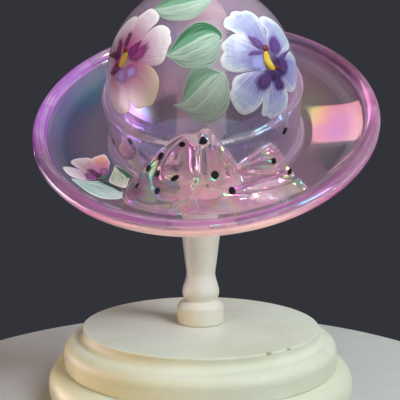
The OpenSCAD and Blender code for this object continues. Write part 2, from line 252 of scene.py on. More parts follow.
# brush strokes of the enamel: noise drawn out along the stroke, from attributes along and across
brushSettings = dict(fineness=16.0, along=1.3, fineAlong=2.2, fineAcross=2.6, fineShift=3.7)
strokeGroup, groupIn, groupOut = newGroup(
    "brushStrokes", [("Along", "Float", 0.0), ("Across", "Float", 0.0),
                     ("Fineness", "Float", brushSettings["fineness"])],
    [("Streak", "Float"), ("Fine", "Float")])
tree = strokeGroup
stroke = vectorOf(tree, calc(tree, "MULTIPLY", groupIn["Along"], brushSettings["along"]),
                  calc(tree, "MULTIPLY", groupIn["Across"], groupIn["Fineness"]))
tree.links.new(noise(tree, stroke, 1.0, 2.0), groupOut["Streak"])
finer = calc(tree, "MULTIPLY", groupIn["Fineness"], brushSettings["fineAcross"])
fineStroke = vectorOf(tree, calc(tree, "MULTIPLY", groupIn["Along"], brushSettings["fineAlong"]),
                      calc(tree, "MULTIPLY", groupIn["Across"], finer), brushSettings["fineShift"])
tree.links.new(noise(tree, fineStroke, 1.0, 3.0), groupOut["Fine"])


# camera at the photograph's angle

cameraSettings = dict(place=(-0.54, -331.2, 125.8), pitchDown=3.055, roll=0.148, lens=54.0, sensor=36.0)
pitch, roll = np.radians(cameraSettings["pitchDown"]), np.radians(cameraSettings["roll"])
ahead = np.array([0, np.cos(pitch), -np.sin(pitch)])
upward = np.array([0, np.sin(pitch), np.cos(pitch)])
right = np.array([1.0, 0, 0])
cameraAxes = np.stack([right * np.cos(roll) + upward * np.sin(roll),
                       upward * np.cos(roll) - right * np.sin(roll), -ahead], 1)
cameraData = bpy.data.cameras.new("camera")
cameraData.lens, cameraData.sensor_width = cameraSettings["lens"], cameraSettings["sensor"]
cameraData.clip_start = 0.01
camera = bpy.data.objects.new("camera", cameraData)
cameraPlace = Matrix.Translation(Vector(cameraSettings["place"]) * mm)
camera.matrix_world = cameraPlace @ Matrix(cameraAxes.tolist()).to_4x4()
bpy.context.scene.collection.objects.link(camera)
bpy.context.scene.camera = camera
bpy.context.scene.view_settings.view_transform = "Standard"


# soft studio light: area lamps in a world that is charcoal behind the hat and pale in front of it

# lights: shines on matt surfaces; mirrored: seen in the glass; spread: width of the beam in degrees
lampSettings = dict(
    key=dict(place=(0.50, -0.36, 0.82), aim=(0, 0, 0.1), size=(0.36, 0.36), power=7.6, colour="#e8fbff",
             mirrored=False),
    spark=dict(place=(0.568, -0.538, 0.647), aim=(0, 0, 0.17), size=(0.25, 0.25), power=2.1, colour="#f6fbff",
               lights=False),
    bulb=dict(place=(-0.025, -0.72, 0.66), aim=(0, 0, 0.17), size=(0.05, 0.05), power=0.16, colour="#ffe39a",
              lights=False),
    fill=dict(place=(-0.52, -0.62, 0.60), aim=(-0.01, -0.03, 0.18), size=(0.12, 0.12), power=0.027,
              colour="#ffe6e6", spread=14, mirrored=False),
    warm=dict(place=(-0.70, -0.22, 0.07), aim=(0, 0, 0.012), size=(0.3, 0.05), power=0.028, colour="#ffc81e",
              spread=10, mirrored=False),
    glow=dict(place=(0, -0.60, 0.04), aim=(0, -0.08, 0.104), size=(0.14, 0.02), power=0.007, colour="#ffc8c0",
              spread=4, mirrored=False),
    low=dict(place=(-0.345, 0.026, 0.03), aim=(-0.03, -0.04, 0.15), size=(0.31, 0.31), power=2.2,
             colour="#ffeaf6", lights=False, softEdge=(0.2, 0.02)),
    window=dict(place=(-0.26, 0.67, 0.93), aim=(-0.26, 0.67, 0), size=(0.61, 1.07), power=4.6,
                colour="#fff1f2", lights=False,  # its outline and door, in mm
                foot=(246, 250, 272, -285), crest=(-90, 0.00173, 150), side=(475, 0.36, -523),
                softEdge=(-2.0, 10.0), door=20, doorEdge=20.0, hatHeight=150.0),
)
worldSettings = dict(backdrop="#33333a", room="#b3b0a6", roomStrength=1.0, roomFrom=(0.35, -0.62, 0.70),
                     darkEdge=-0.2, paleEdge=0.95)
for name, lamp in lampSettings.items():
    data = bpy.data.lights.new(name, "AREA")
    data.shape, (data.size, data.size_y) = "RECTANGLE", lamp["size"]
    data.energy, data.color = lamp["power"], tint(lamp["colour"])[:3]
    data.spread = np.radians(lamp.get("spread", 180))
    data.use_nodes = True
    light = bpy.data.objects.new(name, data)
    light.location = lamp["place"]
    light.rotation_euler = (Vector(lamp["place"]) - Vector(lamp["aim"])).to_track_quat("Z", "Y").to_euler()
    light.visible_camera = False
    light.visible_glossy = light.visible_transmission = lamp.get("mirrored", True)
    light.visible_diffuse = lamp.get("lights", True)
    bpy.context.scene.collection.objects.link(light)
world = bpy.data.worlds.new("studio")
bpy.context.scene.world = world
world.use_nodes = True
tree = world.node_tree
tree.nodes.clear()
outward = tree.nodes.new("ShaderNodeTexCoord").outputs["Generated"]
way = vectorCalc(tree, "DOT_PRODUCT", outward, Vector(worldSettings["roomFrom"]).normalized())
facing = spread(tree, way, worldSettings["darkEdge"], worldSettings["paleEdge"])
surround = addNode(tree, "ShaderNodeBackground", None, Strength=worldSettings["roomStrength"])
wallAndRoom = tint(worldSettings["backdrop"]), tint(worldSettings["room"])
plug(tree, surround.inputs["Color"], blend(tree, facing, *wallAndRoom))
tree.links.new(surround.outputs[0], tree.nodes.new("ShaderNodeOutputWorld").inputs[0])

floorSettings = dict(radius=0.18, thick=0.012, edge=0.004, colour="#cfcdca", mottle="#c4c2bf", grain=60.0)
floorMaterial, tree, shader = newMaterial("paleFloor")
mottled = noise(tree, objectPlace(tree), floorSettings["grain"])
mottled = blend(tree, mottled, tint(floorSettings["colour"]), tint(floorSettings["mottle"]))
plug(tree, shader.inputs["Base Color"], mottled)
shader.inputs["Roughness"].default_value = 0.7
w, t, e = (floorSettings[key] for key in ("radius", "thick", "edge"))
profile = np.concatenate([[[0, 0]], [[w * 0.5, 0]], arc((w - e, -e), e, 90, 0, 8),
                          arc((w - e, e - t), e, 0, -90, 8), [[0, -t]]])
addPiece("floor", *turned(profile, 200), floorMaterial)

low = lampSettings["low"]  # a lamp with soft edges
tree = bpy.data.lights["low"].node_tree
spot = tree.nodes.new("ShaderNodeNewGeometry").outputs["Position"]
apart = vectorCalc(tree, "LENGTH", vectorCalc(tree, "SUBTRACT", spot, low["place"]))
plug(tree, tree.nodes["Emission"].inputs["Strength"], spread(tree, apart, *low["softEdge"]))
print("camera, lamps and floor in place")


# the hat's own frame: origin at the rim's centre, axis up, front at -Y, angles from the front to the right

hat = dict(brimDiameter=193.0, rimThickness=8.0, brimWall=5.5, dishDepth=12.5, crownDiameter=102.0,
           crownWall=5.0, crownRise=19.3, bandStep=4.0, bandDrop=3.0, bandTaper=1.0, beadRadius=1.0,
           beadFillet=0.8, bandFillet=2.5, mouthFlare=3.0, mouthRound=2.5, tilt=40.4, lean=4.2, forward=2.3,
           restGap=0.3)
rimR = hat["rimThickness"] / 2
rimC = hat["brimDiameter"] / 2 - rimR
crownR = hat["crownDiameter"] / 2
crownIn = crownR - hat["crownWall"]
crownRise = hat["crownRise"]
bandR = crownR + hat["bandStep"]
bandTop = crownRise - hat["bandDrop"]
bandFoot = bandR - hat["bandTaper"]
floorZ = -hat["dishDepth"]
underZ = floorZ - hat["brimWall"]
mouthR = crownIn + hat["mouthFlare"]
dishC = bandFoot + hat["bandFillet"]
dishRun = rimC - dishC
dishR = dishRun ** 2 + hat["dishDepth"] ** 2 - (hat["brimWall"] / 2) ** 2
dishR = dishR / (2 * hat["dishDepth"] + hat["brimWall"])
dishCz = floorZ + dishR
capLow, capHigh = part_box("felt_cap")
capRadius = (capHigh.x - capLow.x) / 2 / mm
capCentre = capHigh.z / mm - capRadius
restR = crownIn - capRadius - hat["restGap"]
domeCentre = np.array([0, -hat["forward"], capCentre - np.sqrt(restR ** 2 - hat["forward"] ** 2)])
tilted, leaning = np.radians(hat["tilt"]), np.radians(-hat["lean"])
hatTurn = np.array(Matrix.Rotation(tilted, 3, "X") @ Matrix.Rotation(leaning, 3, "Y"))
print("dome centre", domeCentre.round(3), "dish radius", round(dishR, 3))


def placeHat(points):  # hat frame in mm to the part's frame in metres
    return (domeCentre + (np.asarray(points) - [0, 0, crownRise]) @ hatTurn.T) * mm


def around(angle, radius, height):  # angle in degrees from the front, to the right
    t = np.radians(angle)
    return np.stack([radius * np.sin(t), -radius * np.cos(t), height + 0 * t], -1)


def dishHeight(radius):  # the brim's hollow: a circle that is level at the band's foot
    return dishCz - np.sqrt(dishR ** 2 - np.maximum(0, radius - dishC) ** 2)


# the window's outline at the lamp gives a square image on the curved brim: the foot is an exponential,
# the crest a parabola, the side a line; a door, by where the light lands, keeps it off the hat's left

window = lampSettings["window"]
tree = bpy.data.lights["window"].node_tree
ray = tree.nodes.new("ShaderNodeNewGeometry").outputs
spot = vectorCalc(tree, "DIVIDE", ray["Position"], (mm, mm, mm))
x, y, z = addNode(tree, "ShaderNodeSeparateXYZ", None, Vector=spot).outputs
goX, _, goZ = addNode(tree, "ShaderNodeSeparateXYZ", None, Vector=ray["Incoming"]).outputs
start, length, *line = window["foot"]
fall = calc(tree, "EXPONENT", calc(tree, "DIVIDE", calc(tree, "SUBTRACT", start, y), length))
foot = calc(tree, "SUBTRACT", calc(tree, "MULTIPLY_ADD", fall, *line), x)
start, *line = window["crest"]
bend = calc(tree, "POWER", calc(tree, "ABSOLUTE", calc(tree, "SUBTRACT", x, start)), 2.0)
crest = calc(tree, "SUBTRACT", y, calc(tree, "MULTIPLY_ADD", bend, *line))
start, *line = window["side"]
side = calc(tree, "MULTIPLY_ADD", calc(tree, "SUBTRACT", y, start), *line)
side = calc(tree, "SUBTRACT", x, side)
drop = calc(tree, "SUBTRACT", window["hatHeight"], z)
landing = calc(tree, "MULTIPLY_ADD", calc(tree, "DIVIDE", goX, goZ), drop, x)
seen = spread(tree, calc(tree, "SUBTRACT", landing, window["door"]), 0.0, window["doorEdge"])
for edge in (foot, crest, side):
    seen = calc(tree, "MULTIPLY", seen, spread(tree, edge, *window["softEdge"]))
plug(tree, tree.nodes["Emission"].inputs["Strength"], seen)


# the wall from the dome over the band into the dish, as one polyline in (radius, height)

bowSettings = dict(
    topHeight=30.0, outerReach=81.0, bandReach=70.0, knotRise=12.0, tailReach=23.5, edge=1.7, first=-40.0,
    last=46.0, perDegree=1.15, perRun=55.0, lipWidth=1.6, hemGap=1.5, sideEdge=1.2, sideEase=9.0,
    shoulder=dict(out=1.0, swell=1.35, lean=0.1, rise=0.06, lift=0.4), hip=dict(reach=0.3, height=0.22),
    topFade=0.10, hemFade=0.06, bandShares=[0, .12, .5, .62, .86, 1],  # rows spent on the band's corners
    swells=[(2, 11, 5.5), (30, 15, 4.5), (-24, 14, 2.5)],  # knot and loops: angle, half width, mm
    crest=[(-40, .08), (-38, .12), (-35, .21), (-31, .36), (-23, .59), (-17.5, .72), (-12.7, .80), (-9, .84),
           (-3, .85), (1.3, .91), (6, .87), (8, .79), (10.2, .70), (13.8, .54), (17.5, .37), (21, .38),
           (26, .43), (30.5, .46), (35.3, .47), (39.5, .45), (43, .36), (46, .15)],
    span=[(-40, .25), (-38, .52), (-35, .72), (-30, .86), (-21.5, .87), (-14, .85), (-4.5, .77), (6, .85),
          (11.5, .89), (23, .91), (32, .96), (39, 1.03), (41, .75), (43, .38), (46, .10)])
# pressed folds of the bow: line in (angle, share of the way down), rise in mm, width in mm
bowFoldLines = dict(
    ridge=([(1, .12), (-.2, .22), (-.5, .34), (-.5, .52), (-1, .58), (-2.2, .63), (-4.8, .74), (-7.8, .84),
            (-10.5, .90), (-14, 1)], 1.9, 1.5),
    leftHem=([(-10.5, .09), (-16.8, .15), (-21.2, .18), (-27.2, .26), (-31, .36), (-37, .45), (-36, .77),
              (-33, .89), (-29, .93), (-21.5, .94), (-14.5, .9)], 1.4, 2.2),
    leftCrease=([(-28.8, .49), (-24.2, .67), (-18.8, .82), (-13, .86)], -1.3, 1.9),
    loopHem=([(18, .30), (20, .16), (29.5, .10), (37.2, .14), (41.2, .32), (40.5, .60),
              (39.2, .88)], 1.3, 2.0),
    loopRidge=([(21, .20), (28.5, .26), (32.5, .37)], 1.0, 1.8),
    loopCrease=([(17.5, .34), (20, .34), (24.2, .41), (27.2, .48), (33.2, .58), (39.2, .77)], -1.7, 1.8),
    apronFold=([(3, .66), (8, .70), (10.8, .68), (18.2, .60), (25.5, .56), (32.5, .60)], 1.2, 1.8),
    apronWave=([(8, .79), (16.5, .78), (26.5, .78), (35.2, .84)], 0.9, 1.8),
    knotLeft=([(-1.4, .02), (-1.7, .28)], -1.5, 1.1),
    knotRight=([(5.5, .04), (5.2, .27)], -1.5, 1.1))
# the two tails and their see-through windows: outline, raised lip, hollow, reach of the slope into it
bowHollows = dict(
    leftTail=([(-8, .15), (-14.5, .25), (-16.5, .33), (-18.2, .41), (-18.5, .50), (-17.2, .58), (-13.8, .63),
               (-8.5, .64), (-3, .58), (-1.4, .51), (-1.4, .35), (-2.4, .25)], 1.4, 1.2, 6.0),
    leftWindow=([(-15.5, .26), (-8.5, .28), (-11.2, .48), (-16, .44)], 0.3, 1.6, 3.0),
    rightTail=([(.4, .30), (.3, .52), (1.2, .60), (5.8, .62), (10.2, .60), (12, .57), (12.2, .42), (9, .36),
                (7.5, .26), (4, .24)], 1.2, 1.2, 6.0),
    rightWindow=([(7.6, .28), (8.8, .22), (13.5, .28), (13.8, .34), (10.8, .41)], 0.5, 1.5, 2.2))
domeFrom = np.degrees(np.arcsin((bowSettings["topHeight"] - crownRise) / crownR))
bead, fillet, crease = hat["beadRadius"], hat["bandFillet"], hat["beadFillet"]
outerTurn = np.degrees(np.arcsin((bowSettings["outerReach"] - dishC) / dishR))
# points of each arc of the wall, with a corner point before the crease and the foot
wallParts = dict(dome=24, crease=8, bead=26, foot=16, dish=30)
wallPath = np.concatenate([
    arc((0, crownRise), crownR, domeFrom, 0, wallParts["dome"]), [[crownR, bandTop + crease]],
    arc((crownR + crease, bandTop + crease), crease, 180, 270, wallParts["crease"]),
    arc((bandR - bead, bandTop), bead, 180, -60, wallParts["bead"]), [[bandFoot, floorZ + fillet + 0.4]],
    arc((dishC, floorZ + fillet), fillet, 180, 270, wallParts["foot"]),
    arc((dishC, dishCz), dishR, -90, outerTurn - 90, wallParts["dish"])])
wallRun = lengthAlong(wallPath)
wallFall = np.minimum.accumulate(wallPath[:, 1]) - 1e-6 * np.arange(len(wallPath))  # height as it only falls
bandCorners = np.cumsum([wallParts["dome"], wallParts["crease"], wallParts["bead"], 1, wallParts["foot"]])
dishPart = slice(-wallParts["dish"], None)
bandStart = wallRun[bandCorners[0]]
bandEnd = np.interp(bowSettings["bandReach"], wallPath[dishPart, 0], wallRun[dishPart])


def onWall(s):
    return np.interp(s, wallRun, wallPath[:, 0]), np.interp(s, wallRun, wallPath[:, 1])


def bowTop(angle):  # height of the bow's upper edge
    return floorZ + (bandTop + bowSettings["knotRise"] - floorZ) * through(bowSettings["crest"], angle)


def bowReach(angle):  # radius of the bow's lower edge on the dish
    return bandR + bowSettings["tailReach"] * through(bowSettings["span"], angle)


def bowFolds(angle, u):
    # ridges and creases along the fold lines, hollows inside the outlines, in mm along the normal
    scale = np.array([bowSettings["perDegree"], bowSettings["perRun"]])
    x, y = angle * scale[0], u * scale[1]
    rise = np.zeros(np.shape(x))
    for line, amount, width in bowFoldLines.values():
        rise = rise + amount * np.exp(-(distanceTo(x, y, (np.array(line) * scale).tolist()) / width) ** 2)
    for outline, lip, hollow, slope in bowHollows.values():
        line = (np.array(outline) * scale).tolist()
        away = distanceTo(x, y, line + line[:1])
        rise = rise + lip * np.exp(-(away / bowSettings["lipWidth"]) ** 2)
        rise = rise - hollow * np.where(inside(x, y, line), smooth(away / slope), 0)
    return rise


def bowDrape(angle, u, lift=0.0):
    # a four-point bend from the wall, out over a rounded shoulder, down and out to the dish,
    # moved along its normal by the folds
    high, reach, edge = bowTop(angle), bowReach(angle), bowSettings["edge"]
    swell = sum(amount * (1 + np.cos(np.pi * np.clip((angle - at) / wide, -1, 1))) / 2
                for at, wide, amount in bowSettings["swells"])
    r0 = np.interp(-high, -wallFall, wallPath[:, 0])
    shoulder, hip = bowSettings["shoulder"], bowSettings["hip"]
    r1 = bandR + edge + shoulder["out"] + shoulder["swell"] * swell + shoulder["lean"] * (bandR - r0)
    z1 = high + shoulder["rise"] * (high - floorZ) + shoulder["lift"] * swell
    r2 = bandR + edge + swell + hip["reach"] * (reach - bandR)
    z2 = floorZ + hip["height"] * (high - floorZ) + edge
    r3, z3 = reach + edge, dishHeight(reach) + edge
    v = 1 - u
    bend = lambda p0, p1, p2, p3: v ** 3 * p0 + 3 * u * v ** 2 * p1 + 3 * u * u * v * p2 + u ** 3 * p3
    slope = lambda p0, p1, p2, p3: v ** 2 * (p1 - p0) + 2 * u * v * (p2 - p1) + u * u * (p3 - p2)
    dr, dz = slope(r0, r1, r2, r3), slope(high, z1, z2, z3)
    steep = np.maximum(np.hypot(dr, dz), 1e-6)
    fade = smooth(u / bowSettings["topFade"]), smooth((1 - u) / bowSettings["hemFade"])
    rise = bowFolds(angle, u) * fade[0] * fade[1] + lift
    return bend(r0, r1, r2, r3) - dz / steep * rise, bend(high, z1, z2, z3) + dr / steep * rise


# lustred mauve glass, in the order of the mesh's material slots

glassKinds = dict(
    mauveGlass=dict(clear=0.85, body="#f4ddf2"),
    bowGlass=dict(clear=0.83, body="#ecbcd0", index=1.46, film=2.4),
    rimGlassA=dict(clear=0.90), rimGlassB=dict(clear=0.87), rimGlassC=dict(clear=0.83),
    rimGlassD=dict(clear=0.79), rimGlassE=dict(clear=0.76),
    # the rim's outer slots are nearly opaque at the front, where its colour carries a painted light from
    # below
    rimGlassOuter=dict(clear=0.05, shine=0.12),
    dishGlass=dict(clear=0.96, body="#f0e4f2"),
    rimGlassOuterB=dict(clear=0.35, shine=0.25),
    rimGlassOuterC=dict(clear=0.60, shine=0.4))
slotOf = {name: slot for slot, name in enumerate(glassKinds)}
# where the rim's glass starts, how far round it goes, how thick the lustre is in nm, how satin its face
glassZones = dict(rimSteps=[82.0, 84.5, 87.0, 89.5, 91.5], rimFade=[85, 96, 107, 118, 129],
                  leftFade=45, outerTop=2.2,
                  plain=300.0, left=150.0, leftOuter=16.0, right=30.0, corner=30.0, middle=20.0, green=196.0,
                  sway=14.0, bowSway=120.0, satinRim=3.0, satinInside=1.9)
# where each tint lies: middle, half width and power of a hump, or start and width of a rise, in degrees or mm
# the pale front of the rim's outer face marks where a painted light from below is laid on
tintPlaces = dict(lowPart=(-4, 18), blueSide=(-95, 55, 4), blueOuter=(76, 12), warmSide=(88, 42, 4),
                  greenSide=(-128, 22), greenRing=(84, 11), outerDown=(-3.2, 1.6), outerRing=(92, 2),
                  rimRing=(83, 9), paintedLightFront=(-38, 24), violetSide=(-105, 60), violetRing=(64, 16))
windowImage = dict(x=62.3, y=-24, slant=0.55, wide=25, high=38.7,  # on the right of the dish
                   cornerAcross=(0, 0.3), cornerUp=(0.3, 0.6), middleAcross=(0.45, 0.35),
                   middleUp=(0.4, 0.45))
# rows of points down each stretch of the section; the brim's are eased, then every fifth is kept
glassRows = dict(dome=28, above=10, drape=92, below=12, brim=400, brimArcs=(40, 60, 60), easing=15, held=12,
                 every=5, mouth=9, inside=12, ceiling=30)
# columns round the axis in degrees: close together over the bow, closest at its two sides
hatColumns = np.unique(np.concatenate([np.arange(-44, 51, 0.5), np.arange(-42, -38, 0.25),
                                       np.arange(44, 48, 0.25), np.arange(51, 316, 2.4)]))
hatSides = (hatColumns + 180) % 360 - 180


def hump(value, at, wide, power=2):
    return np.exp(-((value - at) / wide) ** power)


def rising(value, start, width):
    return smooth((value - start) / width)


def outerWall(past, onBow):  # the wall from dome to dish at each column, with the bow laid over it
    held = np.clip(hatColumns, bowSettings["first"], bowSettings["last"])
    near = 1 - smooth(past / bowSettings["sideEase"])  # rows lean towards the bow's edges beside it
    sTop = np.interp(-bowTop(held), -wallFall, wallRun)
    sReach = np.interp(bowReach(held), wallPath[dishPart, 0], wallRun[dishPart])
    sTop = bandStart + (sTop - bandStart) * near
    sReach = bandEnd + (sReach + bowSettings["hemGap"] - bandEnd) * near
    k = np.linspace(0, 1, glassRows["drape"])[:, None]
    cornerRun = np.append(wallRun[bandCorners], bandEnd) - bandStart
    bandStep = np.interp(k, bowSettings["bandShares"], cornerRun / cornerRun[-1])
    upper = np.linspace(0, 1, glassRows["above"], endpoint=False)[:, None] * sTop
    lower = sReach + np.linspace(0, 1, glassRows["below"])[1:, None] * (wallRun[-1] - sReach)
    middle = sTop + (sReach - sTop) * (bandStep + (k - bandStep) * near)
    wall = np.stack(onWall(np.concatenate([upper, middle, lower])), -1)
    u = np.broadcast_to(k, middle.shape)
    draped = np.stack(bowDrape(np.broadcast_to(held, u.shape), u), -1)
    edgeOut = np.clip((1 - u) / bowSettings["hemFade"], 0, 1)
    grip = (np.sqrt(1 - (1 - edgeOut) ** 2) * onBow)[..., None]
    bowRows = slice(len(upper), len(upper) + len(k))
    wall[bowRows] += grip * (draped - wall[bowRows])
    return wall


def lowerSection():  # the dish's outer part, the rim, the underside, the mouth, and up inside the crown
    dish, under = (dishC, dishCz), dishR + hat["brimWall"]
    gap, tiltDown = np.hypot(dishRun, dishCz), np.degrees(np.arctan2(-dishCz, dishRun))
    reach = lambda radius: (gap ** 2 + radius ** 2 - rimR ** 2) / (2 * gap * radius)
    topEnd, lowEnd = (tiltDown - np.degrees(np.arccos(reach(radius))) for radius in (dishR, under))
    topPoint, lowPoint = arc(dish, dishR, topEnd, topEnd, 1)[0], arc(dish, under, lowEnd, lowEnd, 1)[0]
    fromRim = np.degrees(np.arctan2(topPoint[1], topPoint[0] - rimC)) % 360
    toRim = np.degrees(np.arctan2(lowPoint[1], lowPoint[0] - rimC))
    above, rolled, below = glassRows["brimArcs"]
    brim = np.concatenate([arc(dish, dishR, outerTurn - 90, topEnd, above),
                           arc((rimC, 0), rimR, fromRim, toRim, rolled)[1:],
                           arc(dish, under, lowEnd, -90, below)[1:]])
    count, wide, held = (glassRows[key] for key in ("brim", "easing", "held"))
    brim = evenly(brim, count)
    eased = softened(brim, np.hanning(wide))  # the two valleys beside the rim
    keep = np.interp(np.arange(count), [0, held, count - held, count - 1], [1, 0, 0, 1])[:, None]
    brim = (eased + (brim - eased) * keep)[::glassRows["every"]][1:]
    mouthRound = hat["mouthRound"]
    mouth = arc((mouthR + mouthRound, underZ + mouthRound), mouthRound, 270, 180, glassRows["mouth"])
    insideZ = np.linspace(underZ + mouthRound, crownRise, glassRows["inside"])[1:]
    insideR = crownIn + hat["mouthFlare"] * (crownRise - insideZ) / (crownRise - underZ - mouthRound)
    ceiling = arc((0, crownRise), crownIn, 0, 90, glassRows["ceiling"])[1:-1]
    return np.concatenate([brim, mouth, np.stack([insideR, insideZ], 1), ceiling])


def glassOfFaces(r, z, onBow, firstRow):
    # the slot of each face: hat, dish, bow or one of the rim's, which are clearer at the back
    r, z = (r[:-1] + r[1:]) / 2, (z[:-1] + z[1:]) / 2
    side = np.broadcast_to(hatSides, r.shape)
    rightFade = glassZones["rimFade"]
    fade = np.digitize(side, rightFade) + np.digitize(-side, np.add(rightFade, glassZones["leftFade"]))
    step = np.digitize(r, glassZones["rimSteps"])
    rimSlot = slotOf["rimGlassA"] - 1 + np.maximum(step - fade, 1)
    slots = np.where(step > 0, rimSlot, np.where(r > dishC, slotOf["dishGlass"], slotOf["mauveGlass"]))
    outside = (r > rimC) & (z < glassZones["outerTop"])
    outerSlots = np.array([slotOf["rimGlass" + end] for end in ("Outer", "OuterB", "OuterC", "C", "B", "A")])
    slots[outside] = outerSlots[fade[outside]]
    slots[firstRow:firstRow + glassRows["drape"] - 1, onBow > 0.3] = slotOf["bowGlass"]
    return slots.ravel()


def lustreValues(r, z, onBow, firstRow):
    # the lustre is violet, bluer on the left of the dish, warmer on the right, green at the back left
    side, zones, places, image = hatSides, glassZones, tintPlaces, windowImage
    low = 1 - rising(z, *places["lowPart"])
    x, y = r * np.sin(np.radians(hatColumns)), -r * np.cos(np.radians(hatColumns))
    s = (x - image["x"]) / image["wide"]  # across and up the window's image
    t = (y + image["slant"] * (x - image["x"]) - image["y"]) / image["high"]
    bluer = zones["left"] - zones["leftOuter"] * rising(r, *places["blueOuter"])
    film = zones["plain"] - low * hump(side, *places["blueSide"]) * bluer
    corner = zones["corner"] * hump(s, *image["cornerAcross"]) * rising(t, *image["cornerUp"])
    middle = zones["middle"] * hump(s, *image["middleAcross"]) * hump(t, *image["middleUp"])
    film = film - low * hump(side, *places["warmSide"]) * (zones["right"] + corner - middle)
    film = film - (film - zones["green"]) * hump(side, *places["greenSide"]) * hump(r, *places["greenRing"])
    outerFace = rising(-z, *places["outerDown"]) * rising(r, *places["outerRing"])
    film = film * (1 - outerFace)
    rimRow = np.argmax(r[:, 0])
    film[(np.arange(len(r))[:, None] > rimRow + 8) & (r > mouthR + 3)] = 0  # no lustre below the brim
    sway = np.full(r.shape, zones["sway"])
    sway[firstRow:firstRow + glassRows["drape"]] += zones["bowSway"] * onBow
    run = np.cumsum(np.hypot(np.diff(r, axis=0, prepend=0), np.diff(z, axis=0, prepend=0)), 0)
    satin = zones["satinRim"] * outerFace
    insideRows = glassRows["inside"] - 1 + glassRows["ceiling"] - 2
    satin[-insideRows:] = zones["satinInside"]
    violet = hump(side, *places["violetSide"]) * rising(r, *places["violetRing"])
    # pale: the front of the rim's outer face painted lighter, a painted light from below
    pale = outerFace * rising(-abs(side), *places["paintedLightFront"])
    return dict(rim=rising(r, *places["rimRing"]), pale=pale, violet=violet, film=film, sway=sway,
                run=run - run[rimRow], satin=satin)  # run is the distance along the section from the rim


def hatGlass():
    # rings round the axis: row by row down the dome, over the band or the bow, across the dish,
    # round the rim, back along the underside and up inside the crown
    first, last = bowSettings["first"], bowSettings["last"]
    past = np.maximum(first - hatColumns, hatColumns - last)
    past = np.where(hatColumns > 180, 360 - hatColumns + first, past)
    onBow = 1 - smooth(past / bowSettings["sideEdge"])
    dome = arc((0, crownRise), crownR, 90, domeFrom, glassRows["dome"])[1:-1]
    spin = lambda section: np.repeat(section[:, None, :], len(hatColumns), 1)
    section = np.concatenate([spin(dome), outerWall(past, onBow), spin(lowerSection())])
    r, z = section[..., 0], section[..., 1]
    rings = around(hatColumns[None, :], r, z)
    points, faces = cappedRings(rings, (0, 0, crownRise + crownR), (0, 0, crownRise + crownIn))
    firstRow = len(dome) + glassRows["above"]
    slots = np.append(glassOfFaces(r, z, onBow, firstRow), np.zeros(2 * len(hatColumns), int))
    values = lustreValues(r, z, onBow, firstRow)
    values = {key: np.append(value.ravel(), value[[0, -1], 0]) for key, value in values.items()}
    return points, faces, slots, values


# the pale pink of the rim's outer face is a painted light from below
glassSettings = dict(rim="#cf7cb8", violet="#c274d4", drawnLinesAndSheen="#fbe2f2", cool="#b8b8e4", outer="#ffe4e0",
                     shadow="#fbf4f9", roughness=0.02, roughest=2.2, satin=0.07, drawn=(22.0, 22.0, 22.0),
                     drawnRun=1.1, streakRange=(0.48, 0.6, 0.85), mottleRange=(0.4, 0.7), swayGain=3.0,
                     lineFilm=130.0, lineWaves=4.0, waves=(0.06, 0.0006),
                     swirl=45.0, ripple=28.0, mottle=90.0)


def lustreGlass(name, clear, body="#efe4f0", index=1.48, film=2.0, shine=0.5):
    # clear glass under a thin coloured lustre that changes over the surface
    material, tree, shader = newMaterial(name)
    place = objectPlace(tree)
    rim = attribute(tree, "rim")
    run = calc(tree, "MULTIPLY", attribute(tree, "run"), glassSettings["drawnRun"])
    drawn = vectorCalc(tree, "MULTIPLY_ADD", place, glassSettings["drawn"], vectorOf(tree, run, 0.0))
    drawnLinesAndSheen = noise(tree, drawn, 1.0)  # lines along the rim, from when the glass was drawn out; in the colour their pale streaks are partly painted highlight
    violet = attribute(tree, "violet")
    edge = blend(tree, violet, tint(glassSettings["rim"]), tint(glassSettings["violet"]))
    # pale streaks over the rim colour: real drawn lines in the glass, and painted highlight
    edge = lay(tree, edge, glassSettings["drawnLinesAndSheen"], drawnLinesAndSheen, *glassSettings["streakRange"])
    plain = blend(tree, violet, tint(body), tint(glassSettings["cool"]))
    colour = blend(tree, rim, plain, edge)
    # painted light from below: the front of the rim's outer face is made pale
    colour = blend(tree, attribute(tree, "pale"), colour, tint(glassSettings["outer"]))
    plug(tree, shader.inputs["Base Color"], colour)
    least = glassSettings["roughness"]
    rough = noise(tree, place, glassSettings["mottle"])
    rough = spread(tree, rough, *glassSettings["mottleRange"], least, least * glassSettings["roughest"])
    rough = calc(tree, "MULTIPLY_ADD", attribute(tree, "satin"), glassSettings["satin"], rough)
    plug(tree, shader.inputs["Roughness"], rough)
    shader.inputs["IOR"].default_value = index
    shader.inputs["Transmission Weight"].default_value = clear
    shader.inputs["Specular IOR Level"].default_value = shine
    drift = calc(tree, "SUBTRACT", noise(tree, place, glassSettings["swirl"], 2.0), 0.5)
    sway = calc(tree, "MULTIPLY", attribute(tree, "sway"), glassSettings["swayGain"])
    thick = calc(tree, "MULTIPLY_ADD", drift, sway, attribute(tree, "film"))
    lines = calc(tree, "MULTIPLY", calc(tree, "SUBTRACT", drawnLinesAndSheen, 0.5), rim)
    thick = calc(tree, "MULTIPLY_ADD", lines, glassSettings["lineFilm"], thick)
    plug(tree, shader.inputs["Thin Film Thickness"], thick)
    shader.inputs["Thin Film IOR"].default_value = film
    ripple = noise(tree, place, glassSettings["ripple"], 1.0)
    waves = calc(tree, "MULTIPLY_ADD", lines, glassSettings["lineWaves"], ripple)
    plug(tree, shader.inputs["Normal"], bump(tree, waves, *glassSettings["waves"]))
    passing = addNode(tree, "ShaderNodeBsdfTransparent", None, Color=tint(glassSettings["shadow"]))
    cast = addNode(tree, "ShaderNodeMixShader")
    shadowRay = tree.nodes.new("ShaderNodeLightPath").outputs["Is Shadow Ray"]
    for socket, value in zip(cast.inputs, (shadowRay, shader.outputs[0], passing.outputs[0])):
        tree.links.new(value, socket)
    tree.links.new(cast.outputs[0], tree.nodes["Material Output"].inputs["Surface"])
    return material


